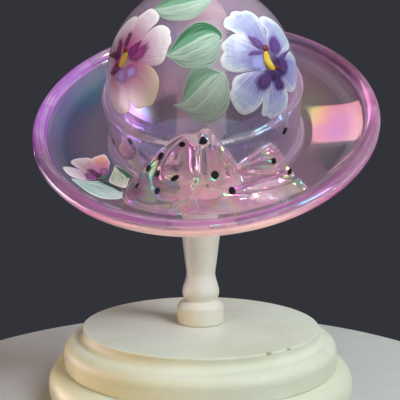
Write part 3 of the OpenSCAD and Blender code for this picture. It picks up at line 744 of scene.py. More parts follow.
glassPoints, glassFaces, glassSlots, glassValues = hatGlass()
glasses = [lustreGlass(name, **settings) for name, settings in glassKinds.items()]
hatPiece = addPiece("hatGlass", placeHat(glassPoints), glassFaces, glasses[0], "hat", "mauve_glass",
                    ("crown", "hat_band", "brim", "bow"), glassValues)
for glass in glasses[1:]:
    hatPiece.data.materials.append(glass)
hatPiece.data.polygons.foreach_set("material_index", glassSlots.astype(np.int32))


# enamel patches: outlines picked on the photo, laid flat in mm, domed, carried onto the glass

def closedCurve(points, count=132):
    # closed curve through the points: cubic pieces with central slopes, then equal steps
    b = np.asarray(points, float)
    a, c, d = np.roll(b, 1, 0), np.roll(b, -1, 0), np.roll(b, -2, 0)
    t = np.linspace(0, 1, 16, endpoint=False)[:, None, None]
    curve = b + t * (c - a + t * (2 * a - 5 * b + 4 * c - d + t * (3 * b - a - 3 * c + d))) / 2
    curve = curve.transpose(1, 0, 2).reshape(-1, 2)
    if np.sum(curve[:, 0] * np.roll(curve[:, 1], -1) - np.roll(curve[:, 0], -1) * curve[:, 1]) < 0:
        curve = curve[::-1]
    return evenly(np.concatenate([curve, curve[:1]]), count + 1)[:-1]


def lensPatch(outline, crown, rings=9):  # the last rings lie close to the edge
    # rings shrink the outline to its middle; the top rises by crown times the root of 1 - ring^4,
    # the underside stays flat; both share the outline itself
    count = len(outline)
    t = np.append(np.linspace(0, 0.965, rings)[1:], [0.985, 1])
    middle = outline.mean(0)
    flat = middle + t[:, None, None] * (outline - middle)
    rise = np.repeat((crown * np.sqrt(1 - t ** 4))[:, None], count, 1)
    ring = np.repeat(t[:, None], count, 1)
    under = slice(len(t) - 2, None, -1)
    flat = np.concatenate([flat, flat[under]])
    rise = np.concatenate([rise, 0 * rise[under]])
    ring = np.concatenate([ring, ring[under]])
    sheet = np.concatenate([flat, rise[..., None]], -1)
    points, faces = cappedRings(sheet, (*middle, crown), (*middle, 0))
    return points, faces, np.concatenate([ring.ravel(), [0, 0]])


photoSize = 400  # the photo's frame, in which the outlines' points are picked
raySearch = dict(near=150, far=520, steps=40000, touch=0.05)  # along a ray to the brim, in mm


def photoRays(picks):
    # the camera and its rays through points of the photo, in the hat's axes about the dome's centre
    focus = photoSize * cameraSettings["lens"] / cameraSettings["sensor"]
    across, down = (np.array(picks, float).T - photoSize / 2) / focus
    rays = np.stack([across, -down, -np.ones(len(across))], 1) @ cameraAxes.T
    rays = rays / np.linalg.norm(rays, axis=1, keepdims=True)
    return (np.array(cameraSettings["place"]) - domeCentre) @ hatTurn, rays @ hatTurn


def domeSpot(angle, latitude):
    # x right and y up in mm about a spot of the dome, along great circles: from the photo, and onto the glass
    t, n = np.radians(angle), np.radians(latitude)
    out = np.array([np.sin(t) * np.cos(n), -np.cos(t) * np.cos(n), np.sin(n)])
    east = np.array([np.cos(t), np.sin(t), 0.0])
    north = np.cross(out, east)

    def pick(points):  # where the rays meet the dome, or pass closest to it, to a tenth of a millimetre
        eye, rays = photoRays(points)
        along = rays @ eye
        near = -along - np.sqrt(np.maximum(along ** 2 - eye @ eye + crownR ** 2, 0))
        spots = eye + near[:, None] * rays
        spots = spots / np.linalg.norm(spots, axis=1, keepdims=True)
        flat = np.stack([spots @ east, spots @ north], 1)
        turn = np.arccos(np.clip(spots @ out, -1, 1)) / np.maximum(np.hypot(*flat.T), 1e-9)
        return (crownR * turn[:, None] * flat).round(1)

    def carry(points, base):
        turn = np.hypot(points[:, 0], points[:, 1]) / crownR
        share = np.sinc(turn / np.pi) / crownR
        way = out * np.cos(turn)[:, None] + (points[:, :1] * east + points[:, 1:2] * north) * share[:, None]
        return [0, 0, crownRise] + way * (crownR + base + points[:, 2])[:, None]
    return pick, carry


def dishSpot(angle, radius):  # the same for the brim's hollow, x along the ring and y inwards in mm
    def pick(points):  # the first step along each ray that touches the hollow, to a tenth of a millimetre
        eye, rays = photoRays(points)
        steps = np.linspace(raySearch["near"], raySearch["far"], raySearch["steps"])[:, None]
        x, y, z = (eye[i] + [0, 0, crownRise][i] + steps * rays[:, i] for i in range(3))
        r = np.hypot(x, y)
        above = abs(z - dishHeight(np.minimum(r, rimC)))
        onHollow = (r > bandFoot) & (r < rimC) & (above < raySearch["touch"])
        met = np.argmax(onHollow, 0), np.arange(len(rays))
        turn = np.arctan2(x[met], -y[met]) - np.radians(angle)
        return np.stack([turn * r[met], radius - r[met]], 1).round(1)

    def carry(points, base):
        r = radius - points[:, 1]
        slope = np.arcsin(np.clip((r - dishC) / dishR, 0, 1))
        up = base + points[:, 2]
        a = angle + np.degrees(points[:, 0] / r)
        return around(a, r - np.sin(slope) * up, dishHeight(r) + np.cos(slope) * up)
    return pick, carry


def ontoBow(angle, u):  # x along the bow and y up it, in mm
    def carry(points, base):
        spot = np.array([u, u + 0.01])
        (r0, r1), (z0, z1) = bowDrape(np.full(2, float(angle)), spot)
        a = angle + np.degrees(points[:, 0] / r0)
        v = u - points[:, 1] * 0.01 / np.hypot(r1 - r0, z1 - z0)
        r, z = bowDrape(a, v, 0.0)
        rUp, zUp = bowDrape(a, v, 1.0)
        up = base + points[:, 2]
        return around(a, r + (rUp - r) * up, z + (zUp - z) * up)
    return carry


def ontoBand(angle, height):  # x round the band and y up it, in mm
    def carry(points, base):
        z = height + points[:, 1]
        r = bandR - hat["bandTaper"] * (bandTop - z) / (bandTop - floorZ) + base + points[:, 2]
        return around(angle + np.degrees(points[:, 0] / bandR), r, z)
    return carry


def fanOf(outline, behind=6.0):
    # along: distance from a root behind the flower's throat; across: angle about the petal's middle line
    middle = outline.mean(0)
    heading = np.arctan2(middle[1], middle[0])
    root = -behind * np.array([np.cos(heading), np.sin(heading)])
    far = np.hypot(*(outline - root).T).max()

    def local(p):
        q = p - root
        turn = (np.arctan2(q[:, 1], q[:, 0]) - heading + np.pi) % (2 * np.pi) - np.pi
        return (np.hypot(*q.T) - behind) / (far - behind), turn / 0.6
    return local


def leafOf(outline, rib):
    # along: share of the way from the tip to the root; across: distance from the curved midrib,
    # as a share of the leaf's width there
    rib = np.array(rib, float)
    way = (rib[-1] - rib[0]) / np.hypot(*(rib[-1] - rib[0])) ** 2
    side = np.array([-way[1], way[0]]) / np.hypot(*way)
    ribX, ribY = (rib - rib[0]) @ way, (rib - rib[0]) @ side
    edgeX, edgeY = (outline - rib[0]) @ way, (outline - rib[0]) @ side
    edgeY = edgeY - np.interp(edgeX, ribX, ribY)
    order = np.argsort(edgeX)
    high, low = order[edgeY[order] >= 0], order[edgeY[order] < 0]

    def local(p):
        x, y = (p - rib[0]) @ way, (p - rib[0]) @ side
        off = y - np.interp(x, ribX, ribY)
        above, below = np.interp(x, edgeX[high], edgeY[high]), np.interp(x, edgeX[low], edgeY[low])
        wide = np.where(off > 0, above, -below)
        return x, off / (np.maximum(wide, 0) + 0.6)
    return local


def addEnamel(name, patches, material, slot, nodes=()):
    # patches: outline, its own (along, across) coordinates, carrier, base height, crown, tone
    points, faceSets, values, start = [], [], dict(along=[], across=[], ring=[], tone=[]), 0
    for outline, local, carry, base, crown, tone in patches:
        flat, faces, ring = lensPatch(outline, crown)
        along, across = local(flat[:, :2])
        points.append(placeHat(carry(flat, base)))
        faceSets += [f + start for f in faces]
        start += len(flat)
        for key, value in zip(values, (along, across, ring, np.full(len(flat), tone))):
            values[key].append(value)
    return addPiece(name, np.concatenate(points), faceSets, material, "hat", slot, nodes,
                    {key: np.concatenate(value) for key, value in values.items()})


def layers(shapes, carry, base, step, crown, grow=1.0, grounded=False):
    # one layer of paint above the other, grounded ones with edges on the glass; shapes: outline in mm, tone
    patches = []
    for k, (points, tone) in enumerate(shapes):
        outline = closedCurve(points)
        outline = outline.mean(0) + grow * (outline - outline.mean(0))
        lift = base + step * k
        place = (0.02, crown + lift) if grounded else (lift, crown)
        patches.append((outline, fanOf(outline), carry, *place, tone))
    return patches


def picked(shapes, pick):
    return [(pick(points), tone) for points, tone in shapes]


def enamelShader(name, roughness=0.3):
    material, tree, shader = newMaterial(name)
    shader.inputs["Roughness"].default_value = roughness
    shader.inputs["Coat Weight"].default_value = 0.28
    shader.inputs["Coat Roughness"].default_value = 0.06
    values = {key: attribute(tree, key) for key in ("along", "across", "ring", "tone")}
    strokes = useGroup(tree, strokeGroup, Along=values["along"], Across=values["across"])
    plug(tree, shader.inputs["Normal"], bump(tree, strokes["Fine"], 0.25, 0.0003))
    values["wobble"] = calc(tree, "SUBTRACT", strokes["Streak"], 0.5)
    outward = calc(tree, "MULTIPLY", values["along"], 0.6)
    values["arc"] = useGroup(tree, strokeGroup, Along=values["across"], Across=outward)["Streak"]
    return material, tree, shader, values, strokes


def shifted(tree, value, wobble, amount):  # a value pushed to and fro by the brush
    return calc(tree, "MULTIPLY_ADD", wobble, amount, value)


def inkMaterial(name, glow, ink, dark, core=0.2):
    # soft-edged strokes on top of the petals; tone picks the colour
    material, tree, shader, v, strokes = enamelShader(name)
    colour = lay(tree, tint(glow), ink, v["tone"], 0.0, 0.5)
    colour = lay(tree, colour, dark, v["tone"], 0.5, 1.0)
    colour = lay(tree, colour, glow, strokes["Fine"], 0.5, 0.75, 0.35)
    plug(tree, shader.inputs["Base Color"], colour)
    edge = shifted(tree, v["ring"], v["wobble"], 0.8)
    plug(tree, shader.inputs["Alpha"], spread(tree, edge, 1.02, core, 0.0, 0.92))
    return material


def petalMargin(tree, v):  # distance to the petal's edge, ragged from the brush
    margin = shifted(tree, v["ring"], v["wobble"], 0.35)
    return shifted(tree, margin, calc(tree, "SUBTRACT", v["arc"], 0.5), 0.3)


# blue pansy, right of the bow on the dome; outlines with their tone, in photo points

bluePansy = dict(
    place=(50, 31), edge="#f2f6fc", body="#b3bbe4", deep="#a1a0d9", heart="#8066ba",
    ink=("#b3b2ef", "#74489e", "#4a2764"), yellow="#eec61e", pale="#f5ea9a", red="#7c0d22", amber="#b9741f",
    petals=[([(268, 48), (266, 40), (266.5, 34), (265, 29), (261, 22.5), (260, 18.3), (263.5, 16.8),
              (268, 17.8), (274, 21.5), (280, 27.5), (284, 34), (287.5, 41), (288.8, 45.5), (287.5, 50),
              (283, 53), (277, 57), (271, 54)], 0.9),
            ([(262, 49), (254, 45), (246, 40), (238, 35), (232, 31), (225.3, 28), (224, 23), (226, 18.5),
              (230.2, 16.2), (231.5, 13), (236, 11.5), (241, 12), (246, 11), (251, 12.5), (256.5, 16.5),
              (260.5, 21.5), (264, 30), (266, 38), (266.5, 46)], 0.35),
            ([(271, 74), (268.5, 84), (266.5, 92), (264, 99), (263, 106), (262, 113.5), (264.3, 116.2),
              (267, 115.8), (271, 118.2), (274.3, 117.3), (276.3, 115.8), (279.5, 115.5), (283, 110.8),
              (286.3, 107.5), (287.8, 98), (286.5, 91), (284, 84), (279, 76)], 0.8),
            ([(275, 70), (277, 62), (281, 56), (285, 52.8), (289, 51.5), (292.5, 55), (295, 60.5),
              (296.3, 69), (296.4, 78), (295.3, 86.5), (293.5, 90.5), (290.5, 92), (287.5, 90.5),
              (284.5, 85), (280, 79)], 0.9),
            ([(268, 72), (258, 71.5), (250, 72.5), (241, 74.5), (235, 78), (232.4, 84), (232.2, 88.5),
              (230.4, 93), (231, 98.5), (234.5, 106), (239, 112), (244, 114.2), (249, 113.2), (255, 110),
              (260, 105), (264.5, 98.5), (269, 90.5), (271.3, 83), (271, 76)], 0.5),
            ([(262, 52), (253, 46), (245.5, 40), (239, 36), (233.5, 34.5), (228.5, 38.3), (222.3, 44.5),
              (222.3, 49.5), (224, 52.5), (221, 58.5), (221.3, 64), (224, 68), (229, 71), (238, 72.3),
              (247, 71.5), (255, 70.3), (263, 67.5), (263.5, 59)], 0.6)],
    strokes=[([(249, 62), (251, 57), (257, 55), (263, 57), (264, 64), (264, 70), (256, 69.8),
               (250, 68)], 0),
             ([(247, 37), (252, 37.3), (256.5, 39), (261, 42.5), (263.5, 47), (261, 49.5), (256, 47),
               (250.5, 41.5)], 0.6),
             ([(248, 55.5), (250, 52.3), (256, 51), (262, 52), (262, 54), (254, 55.5)], 0.6),
             ([(268.3, 44), (269.3, 39), (272, 36.8), (275.5, 38.3), (278.5, 43), (279.7, 49), (278, 53),
               (273, 53.5), (269.3, 50)], 0.65),
             ([(278, 58), (282, 53.5), (287.5, 50.5), (286, 54.5), (282.5, 59), (279, 61)], 0.55),
             ([(277, 60), (281, 58), (285, 60.5), (286.6, 66), (286, 72), (282, 75.8), (278.5, 72),
               (277, 66)], 0.8),
             ([(255.8, 82), (258, 76.5), (263, 73), (269, 71.5), (273, 74), (271.5, 81), (268.5, 86),
               (263, 90), (258, 88.8)], 0.8),
             ([(273, 77), (276.5, 75), (280, 79), (283.3, 84), (284, 88), (280, 89.5), (276, 89),
               (274, 84)], 0.85),
             ([(267, 71), (269, 63), (273, 55), (276, 57), (278.5, 65), (281, 75), (278, 79),
               (272, 76.5)], 1)],
    throat=[([(263, 54), (264.5, 51.3), (267, 53), (268.7, 58), (271.2, 63), (273.8, 67.5), (273.3, 70.3),
              (270.5, 70.3), (267, 67.5), (264.2, 63.5), (262.8, 58.5)], 0),
            ([(262.3, 47.5), (264, 45.2), (266.3, 46.6), (267.3, 49.8), (265.6, 51.9), (263.4, 51)], 1),
            ([(275, 66.3), (277.3, 66), (279, 68.2), (277.6, 70), (275.4, 69)], 1)])
material, tree, shader, v, strokes = enamelShader("blueEnamel")
out = shifted(tree, v["along"], v["wobble"], 0.4)
base = lay(tree, tint(bluePansy["deep"]), bluePansy["body"], out, 0.1, 0.8)
base = lay(tree, base, bluePansy["edge"], v["arc"], 0.42, 0.7, 0.22)
base = lay(tree, base, bluePansy["edge"], strokes["Fine"], 0.5, 0.75, 0.3)
base = lay(tree, base, bluePansy["edge"], petalMargin(tree, v), 0.55, 0.95)
base = lay(tree, base, bluePansy["heart"], shifted(tree, v["along"], v["wobble"], 0.9), 0.8, 0.2, 0.8)
plug(tree, shader.inputs["Base Color"], base)
throatMaterial, tree, shader, v, strokes = enamelShader("throatEnamel", 0.26)
warm = blend(tree, v["tone"], tint(bluePansy["yellow"]), tint(bluePansy["red"]))
warm = lay(tree, warm, bluePansy["amber"], strokes["Streak"], 0.45, 0.75, 0.5)
middle = spread(tree, v["ring"], 0.75, 0.2)
middle = calc(tree, "MULTIPLY", middle, spread(tree, v["tone"], 0.5, 0.0, 0.0, 0.5))
warm = blend(tree, middle, warm, tint(bluePansy["pale"]))
plug(tree, shader.inputs["Base Color"], warm)


def addPansy(name, flower, material, ink, slot, node):
    # petals, strokes of ink over them, and the throat on top
    pick, carry = domeSpot(*flower["place"])
    petals, inked, throat = (picked(flower[key], pick) for key in ("petals", "strokes", "throat"))
    patches = layers(petals, carry, base=0.05, step=0.08, crown=0.07, grow=1.03, grounded=True)
    addEnamel(name, patches, material, slot, (node,))
    patches = layers(inked, carry, base=0.56, step=0.02, crown=0.05, grow=1.3)
    addEnamel(name + "Strokes", patches, inkMaterial(ink, *flower["ink"]), slot)
    patches = layers(throat, carry, base=0.72, step=0.0, crown=0.45)
    addEnamel(name + "Throat", patches, throatMaterial, slot)


addPansy("bluePansy", bluePansy, material, "blueInk", "blue_enamel", "right_pansy")


# rose pansy, left of the bow on the dome

rosePansy = dict(
    place=(-57, 34), edge="#fcf9fc", pale="#e9e2ee", peach="#eed9d3", cream="#efe2c2", blush="#c0469c",
    ink=("#c9a6f0", "#a02c80", "#6a1252"),
    petals=[([(122, 49), (116, 52), (111.5, 50), (113.5, 42.5), (118.3, 33), (122.5, 26.8), (128.5, 20.3),
              (133.5, 17), (136.8, 17.5), (135, 23), (133, 30), (130, 38), (127, 44)], 0.15),
            ([(121, 58), (115, 53.5), (111, 53), (109.2, 60), (108.6, 68), (108.9, 76), (110, 82),
              (112.5, 76.5), (116, 69), (120, 64)], 0.3),
            ([(128, 47), (130, 40), (133, 31), (134.5, 24), (137, 18.7), (141, 15), (146, 11.5),
              (150, 9.2), (153.6, 9.6), (156.3, 12.2), (158.7, 15.5), (158.6, 19), (156.5, 22.8),
              (151.5, 27.5), (146, 33), (139, 39), (133, 46)], 0),
            ([(122, 66), (126, 74), (127, 83), (128.3, 92), (129.8, 101), (129.3, 108), (126.3, 112.3),
              (122, 113.6), (117.5, 111.4), (113.5, 106.8), (111, 100), (109.4, 92), (109.2, 84),
              (111, 77), (114.5, 70.5), (118, 66)], 0.9),
            ([(127, 66), (134, 62.8), (141, 63), (147.5, 65.2), (152, 68.3), (155.6, 72.8), (157.8, 78),
              (158.4, 84), (157.4, 91), (155, 98.5), (152.3, 103.8), (148.5, 105.7), (145, 106),
              (141, 107.9), (136.5, 107.3), (132, 103.2), (129, 97), (127, 90), (126, 81),
              (125.5, 72)], 1),
            ([(129, 57), (130.5, 49), (136, 42.5), (143, 36.8), (150, 31.2), (154, 28), (158.5, 25.9),
              (163, 25.8), (167.3, 28), (169.7, 31.7), (169.5, 35), (170.5, 39), (170.3, 43.2),
              (167.8, 47.3), (166, 54), (163.7, 59.8), (160, 63.5), (155, 65.2), (149, 65), (141, 62.5),
              (133, 61.5)], 0.05)],
    strokes=[([(116.8, 76), (119.5, 70.5), (124.5, 68), (127, 72), (126.3, 79), (124, 84.5),
               (120.3, 82.5), (117.8, 79.5)], 0),
             ([(127.3, 72), (130, 67.6), (134, 66.8), (138, 69.2), (137, 74), (134, 77.2),
               (129, 78.3)], 0),
             ([(130, 59), (136, 53), (142, 47), (148, 44.5), (147, 52), (142, 58.5), (136, 61.5)], 0.4),
             ([(129, 51), (133, 47), (138, 43), (142.3, 41.7), (140.5, 46.5), (137, 52), (133, 56.5),
               (129.5, 57.5)], 0.6),
             ([(125.5, 46), (127.5, 39.5), (131, 33), (133, 34.5), (130.5, 41.5), (127.5, 47.5)], 1),
             ([(116.5, 60), (118.3, 49), (121, 40), (123.4, 41), (122.5, 50), (120.5, 60)], 0.9),
             ([(111, 56), (114.5, 52.8), (119, 54), (119.5, 58), (114, 58)], 1),
             ([(111.5, 74), (114.5, 67.5), (119, 63), (122, 66), (119, 71), (114.5, 75)], 0.8)],
    throat=[([(119.8, 66), (122, 60), (124.3, 55), (126.8, 52.3), (128.5, 53.8), (127.7, 59),
              (125.6, 64.5), (122.8, 67.6)], 0.2),
            ([(124.8, 53), (125.3, 49.5), (127, 46.7), (128.7, 48), (128.5, 51.7), (126.5, 53.8)], 1)])
material, tree, shader, v, strokes = enamelShader("roseEnamel")
base = blend(tree, v["tone"], tint(rosePansy["pale"]), tint(rosePansy["peach"]))
edge = blend(tree, v["tone"], tint(rosePansy["edge"]), tint(rosePansy["cream"]))
base = lay(tree, base, edge, v["arc"], 0.42, 0.68, 0.45)
base = lay(tree, base, edge, strokes["Fine"], 0.5, 0.72, 0.3)
base = lay(tree, base, edge, petalMargin(tree, v), 0.6, 0.97)
base = lay(tree, base, rosePansy["blush"], shifted(tree, v["along"], v["wobble"], 0.4), 0.95, 0.2, 0.92)
plug(tree, shader.inputs["Base Color"], base)
addPansy("rosePansy", rosePansy, material, "roseInk", "rose_enamel", "left_pansy")


# leaves on the dome: a dark crescent above the midrib, a thin pale wash below it

domeLeaves = dict(
    dark="#23734a", deep="#185838", mid="#79bd97", pale="#bddccb", grey="#c6d8ca", rim="#cde2d2",
    vein="#3f6f57", base=0.05, crown=0.1,
    leaves=[dict(place=(2, 47), tone=0,
                 outline=[(166.5, 55.7), (170, 49.5), (174.5, 42), (179.5, 35), (185.5, 28.8),
                          (191.5, 24.3), (197.5, 22), (204.5, 21.7), (211, 23.7), (217, 27.5),
                          (221, 31.5), (222.7, 35.5), (222, 40.5), (220.7, 47), (219.5, 54),
                          (217.3, 60.5), (213, 66), (206, 68.3), (198, 69.5), (190, 69.8), (183, 67.5),
                          (177, 63.8), (171.5, 60)],
                 rib=[(166.5, 55.7), (175, 51.5), (185, 46), (193, 41.5), (200, 37.5), (207, 34.5),
                      (213, 33.3), (218, 35), (222, 40.5)]),
            dict(place=(2, 25), tone=1,
                 outline=[(173, 105), (179, 103.3), (182, 98), (183.2, 90), (185.6, 82), (188.6, 75),
                          (192.3, 69.5), (197.3, 66.4), (203.5, 65.7), (209.5, 67), (215.5, 69.6),
                          (220.5, 71.5), (224.5, 74), (227.5, 79.5), (229.4, 86), (230.2, 94),
                          (229.6, 102), (227, 109.5), (222, 116), (215, 121.3), (207, 123), (198, 120.3),
                          (190, 115.7), (183.5, 110.8), (177.5, 107)],
                 rib=[(173, 105), (182, 103), (189, 98), (196, 91), (203, 83.5), (210, 77), (217, 73.2),
                      (224, 73)]),
            dict(place=(-18, 74), tone=0.4,  # cut by the photo's edge: what lies beyond it is in mm
                 outline=[(153, 10), (158, 14.5), (163, 18.6), (170, 20.6), (178, 21.1), (186, 20.3),
                          (194, 18), (201, 13.3), (207, 7.5), (212, 0.5)],
                 beyond=[(9.5, 12.5), (4, 14.5), (-3, 12.5), (-9.5, 8.5), (-14.5, 3.5)],
                 ribBeyond=[(-16.9, -0.7), (-9, -0.5), (-1, 2), (6, 6), (11, 10)])])
material, tree, shader, v, strokes = enamelShader("leafEnamel")
height = shifted(tree, v["across"], v["wobble"], 0.35)
height = calc(tree, "MULTIPLY_ADD", v["along"], 0.45, height)
dark = lay(tree, tint(domeLeaves["mid"]), domeLeaves["dark"], height, 0.3, 0.95)
dark = lay(tree, dark, domeLeaves["deep"], strokes["Fine"], 0.48, 0.58, 0.8)
greyed = calc(tree, "MULTIPLY", v["tone"], 0.6)
pale = blend(tree, greyed, tint(domeLeaves["pale"]), tint(domeLeaves["grey"]))
pale = lay(tree, pale, domeLeaves["vein"], strokes["Fine"], 0.51, 0.6, 0.7)
base = lay(tree, pale, dark, v["across"], -0.02, 0.03)
base = lay(tree, base, domeLeaves["rim"], strokes["Fine"], 0.46, 0.3, 0.45)
base = blend(tree, calc(tree, "MULTIPLY", v["tone"], 0.3), base, tint(domeLeaves["grey"]))
base = lay(tree, base, domeLeaves["rim"], calc(tree, "ABSOLUTE", v["across"]), 0.06, 0.0, 0.75)
base = lay(tree, base, domeLeaves["rim"], v["ring"], 0.92, 1.0, 0.6)
plug(tree, shader.inputs["Base Color"], base)
plug(tree, shader.inputs["Alpha"], spread(tree, v["across"], -1.0, -0.05, 0.62, 1.0))
patches = []
for leaf in domeLeaves["leaves"]:
    pick, carry = domeSpot(*leaf["place"])
    outline = closedCurve([*pick(leaf["outline"]), *leaf.get("beyond", [])])
    rib = pick(leaf["rib"]) if "rib" in leaf else leaf["ribBeyond"]
    heights = domeLeaves["base"], domeLeaves["crown"]
    patches.append((outline, leafOf(outline, rib), carry, *heights, leaf["tone"]))
addEnamel("domeLeaves", patches, material, "leaf_enamel", ("crown_leaves",))


# bud and leaves on the brim, left of the bow

brimSpray = dict(
    place=(-57.0, 67.5), white="#f4eef4", cream="#cfc2bd", peach="#f2a566", rose="#b871a4",
    ink=("#c58ab8", "#95569a", "#5f2c62"), aqua="#8fc4bc", mint="#98bd98", foam="#eef8f5",
    green=("#5f9a77", "#2f6f4c", "#14402f"),
    bud=[([(63, 167.2), (66.5, 166.7), (71, 167.2), (77, 168.7), (83, 170.3), (89, 172.8), (94.5, 175.5),
           (97.5, 178), (93, 179.7), (87, 180), (80, 179.3), (74, 177.5), (69, 174.9), (65.3, 171.3)], 0),
         ([(71, 162.5), (73, 160), (77, 158.7), (83, 158), (89, 158), (92, 160), (95, 165), (98, 170),
           (99.5, 174.5), (97, 176.3), (90, 173), (83, 170.3), (77, 167.5), (73.5, 164.8)], 0.4),
         ([(91, 160.5), (94, 157.5), (98, 156), (101, 155), (104.5, 154.7), (107, 157), (108.8, 160.5),
           (110, 162.7), (109, 167), (108.5, 171.5), (106, 174.3), (102.5, 174.8), (98.5, 171),
           (94.5, 166)], 1)],
    budStrokes=[([(84.5, 174.5), (90, 173.7), (96, 176), (98.5, 178.3), (93, 180), (87, 180)], 0.5),
                ([(86.5, 171), (91, 169.7), (96, 172), (101.5, 175), (102, 178), (97.5, 178),
                  (92, 174.5)], 1),
                ([(99.5, 170.5), (104, 168.7), (108.3, 170.2), (108, 173.7), (104, 175.6),
                  (100.8, 174.5)], 0.3)],
    leaves=[([(72, 178.8), (78, 179.5), (85, 180.5), (92, 181.2), (100, 181.1), (106, 182), (111, 184),
              (116, 186.6), (121.5, 190), (122.7, 193), (122.5, 196.6), (119, 198.6), (112, 199.1),
              (104, 198.6), (97, 196.6), (89, 192.6), (82, 187.6), (76, 183)], 1),
            ([(115.5, 165.5), (119.5, 167.2), (124.5, 170.5), (129, 173.3), (132, 176), (129.7, 178.5),
              (128, 182), (126.5, 186.3), (123, 187.6), (117, 185.6), (109.5, 181.6), (110.5, 177),
              (113, 171)], 0)],
    leafStrokes=[([(99, 181.3), (105, 181.7), (110, 183.8), (116, 186.8), (122, 190.3), (120, 191.6),
                   (114, 188.6), (108, 185.6), (103, 183.5)], 1),
                 ([(115.8, 166.7), (121, 168.7), (127, 172.2), (132.5, 176), (129, 178.7), (124, 174.7),
                   (119, 170.7)], 0.6)],
    # in mm: the leaves' midribs, and the stalk between them
    ribs=[[(4.3, -16.9), (12.9, -10.7), (20.8, -4.8), (25, -3.4)],
          [(-0.4, 8.3), (4.4, 7.5), (9.2, 6.3), (17.9, 3.2)]],
    stalk=[([(3.9, -4.1), (2.6, -1.4), (3.5, 0.4), (5.9, 0.8), (6.1, -1.0), (5.8, -3.3)], 0.2)])
material, tree, shader, v, strokes = enamelShader("budEnamel")
base = lay(tree, tint(brimSpray["white"]), brimSpray["cream"], v["tone"], 0.0, 0.4)
base = lay(tree, base, brimSpray["peach"], v["tone"], 0.5, 1.0)
base = lay(tree, base, brimSpray["white"], v["arc"], 0.45, 0.65, 0.5)
base = lay(tree, base, brimSpray["white"], shifted(tree, v["ring"], v["wobble"], 0.5), 0.6, 0.98, 0.85)
base = lay(tree, base, brimSpray["rose"], shifted(tree, v["along"], v["wobble"], 0.5), 0.9, 0.2, 0.85)
plug(tree, shader.inputs["Base Color"], base)
pick, carry = dishSpot(*brimSpray["place"])
petals, inked = picked(brimSpray["bud"], pick), picked(brimSpray["budStrokes"], pick)
patches = layers(petals, carry, base=0.24, step=0.08, crown=0.07, grow=1.02, grounded=True)
addEnamel("brimBud", patches, material, "bud_enamel", ("brim_bud",))
ink = inkMaterial("budInk", *brimSpray["ink"])
patches = layers(inked, carry, base=0.5, step=0.02, crown=0.05, grow=1.2)
addEnamel("brimBudStrokes", patches, ink, "bud_enamel")
material, tree, shader, v, strokes = enamelShader("mintEnamel")
base = blend(tree, v["tone"], tint(brimSpray["mint"]), tint(brimSpray["aqua"]))
base = lay(tree, base, brimSpray["foam"], strokes["Streak"], 0.45, 0.58)
base = lay(tree, base, brimSpray["green"][0], strokes["Fine"], 0.52, 0.62, 0.55)
base = lay(tree, base, brimSpray["foam"], v["ring"], 0.82, 0.98, 0.7)
plug(tree, shader.inputs["Base Color"], base)
leaves = picked(brimSpray["leaves"], pick)
patches = layers(leaves, carry, base=0.05, step=0.08, crown=0.07, grow=1.02, grounded=True)
patches = [(patch[0], leafOf(patch[0], rib), *patch[2:]) for patch, rib in zip(patches, brimSpray["ribs"])]
addEnamel("brimLeaves", patches, material, "mint_enamel", ("brim_leaves",))
inked = picked(brimSpray["leafStrokes"], pick) + brimSpray["stalk"]
ink = inkMaterial("leafInk", *brimSpray["green"], 0.75)
patches = layers(inked, carry, base=0.21, step=0.02, crown=0.05, grow=1.1)
addEnamel("brimLeafStrokes", patches, ink, "mint_enamel")


# black enamel dots on the bow and the band

dotSettings = dict(
    radius=1.7, base=0.05, crown=0.18, colour="#0b080d", sheen="#1b161d",
    onBow=[(-9.5, .23, .85), (1.2, .21, 1.15), (-20, .24, 1), (-26.8, .34, 1), (-20.5, .49, 1),
           (-12.5, .60, 1.15), (5, .56, 1.2), (-31.5, .64, .9), (-20, .72, 1.05), (11.5, .73, 1.15),
           (33.5, .37, 1), (38.5, .67, .8)],
    onBand=[(-64.6, -0.9, 1), (-42, 12, 1), (50, 8.7, 1.15)])
dotMaterial, tree, shader, v, strokes = enamelShader("dotEnamel", 0.55)
shader.inputs["Coat Weight"].default_value = 0.0
shader.inputs["Specular IOR Level"].default_value = 0.25
black = blend(tree, strokes["Streak"], tint(dotSettings["colour"]), tint(dotSettings["sheen"]))
plug(tree, shader.inputs["Base Color"], black)
patches = []
for spots, carrier in ((dotSettings["onBow"], ontoBow), (dotSettings["onBand"], ontoBand)):
    for a, at, size in spots:
        turn = np.radians(np.arange(0, 360, 40))
        wide = dotSettings["radius"] * size * (1 + 0.05 * np.sin(2 * turn + a))  # not quite round
        outline = closedCurve(np.stack([wide * np.cos(turn), wide * np.sin(turn)], 1), 28)
        heights = dotSettings["base"], dotSettings["crown"]
        patches.append((outline, fanOf(outline, 3.0), carrier(a, at), *heights, 0.0))
addEnamel("enamelDots", patches, dotMaterial, "dot_enamel")
print("enamel laid on the glass")


# the turned stand

stand = dict(topDiameter=130.0, upperDiameter=148.8, upperThick=19.0, lip=2.2, cove=3.6, lowerDiameter=165.0,
             lowerThick=19.0, nose=8.5, padThick=2.0, padInset=9.0, postHeight=177.0, footDiameter=26.0,
             footHeight=12.5, footRound=4.2, grooveDiameter=18.4, bulgeDiameter=20.6, bulgeAt=16.8,
             neckDiameter=16.0, neckAt=28.0, shaftDiameter=27.0, flareAt=90.0,
             chips=[(31.7, -56.6, 39.6, 2.0), (41.9, -49.7, 39.6, 1.8)],  # place on the top's edge, size
             ivory="#e6e6d8", cream="#dad8c4", shade="#c4bfa6", chip="#a39473", brushMarks=1400.0)
paintMaterial, tree, shader = newMaterial("ivoryPaint")
place = objectPlace(tree)
x, y, z = addNode(tree, "ShaderNodeSeparateXYZ", None, Vector=place).outputs
ringAt = calc(tree, "ADD", calc(tree, "MULTIPLY", x, x), calc(tree, "MULTIPLY", y, y))
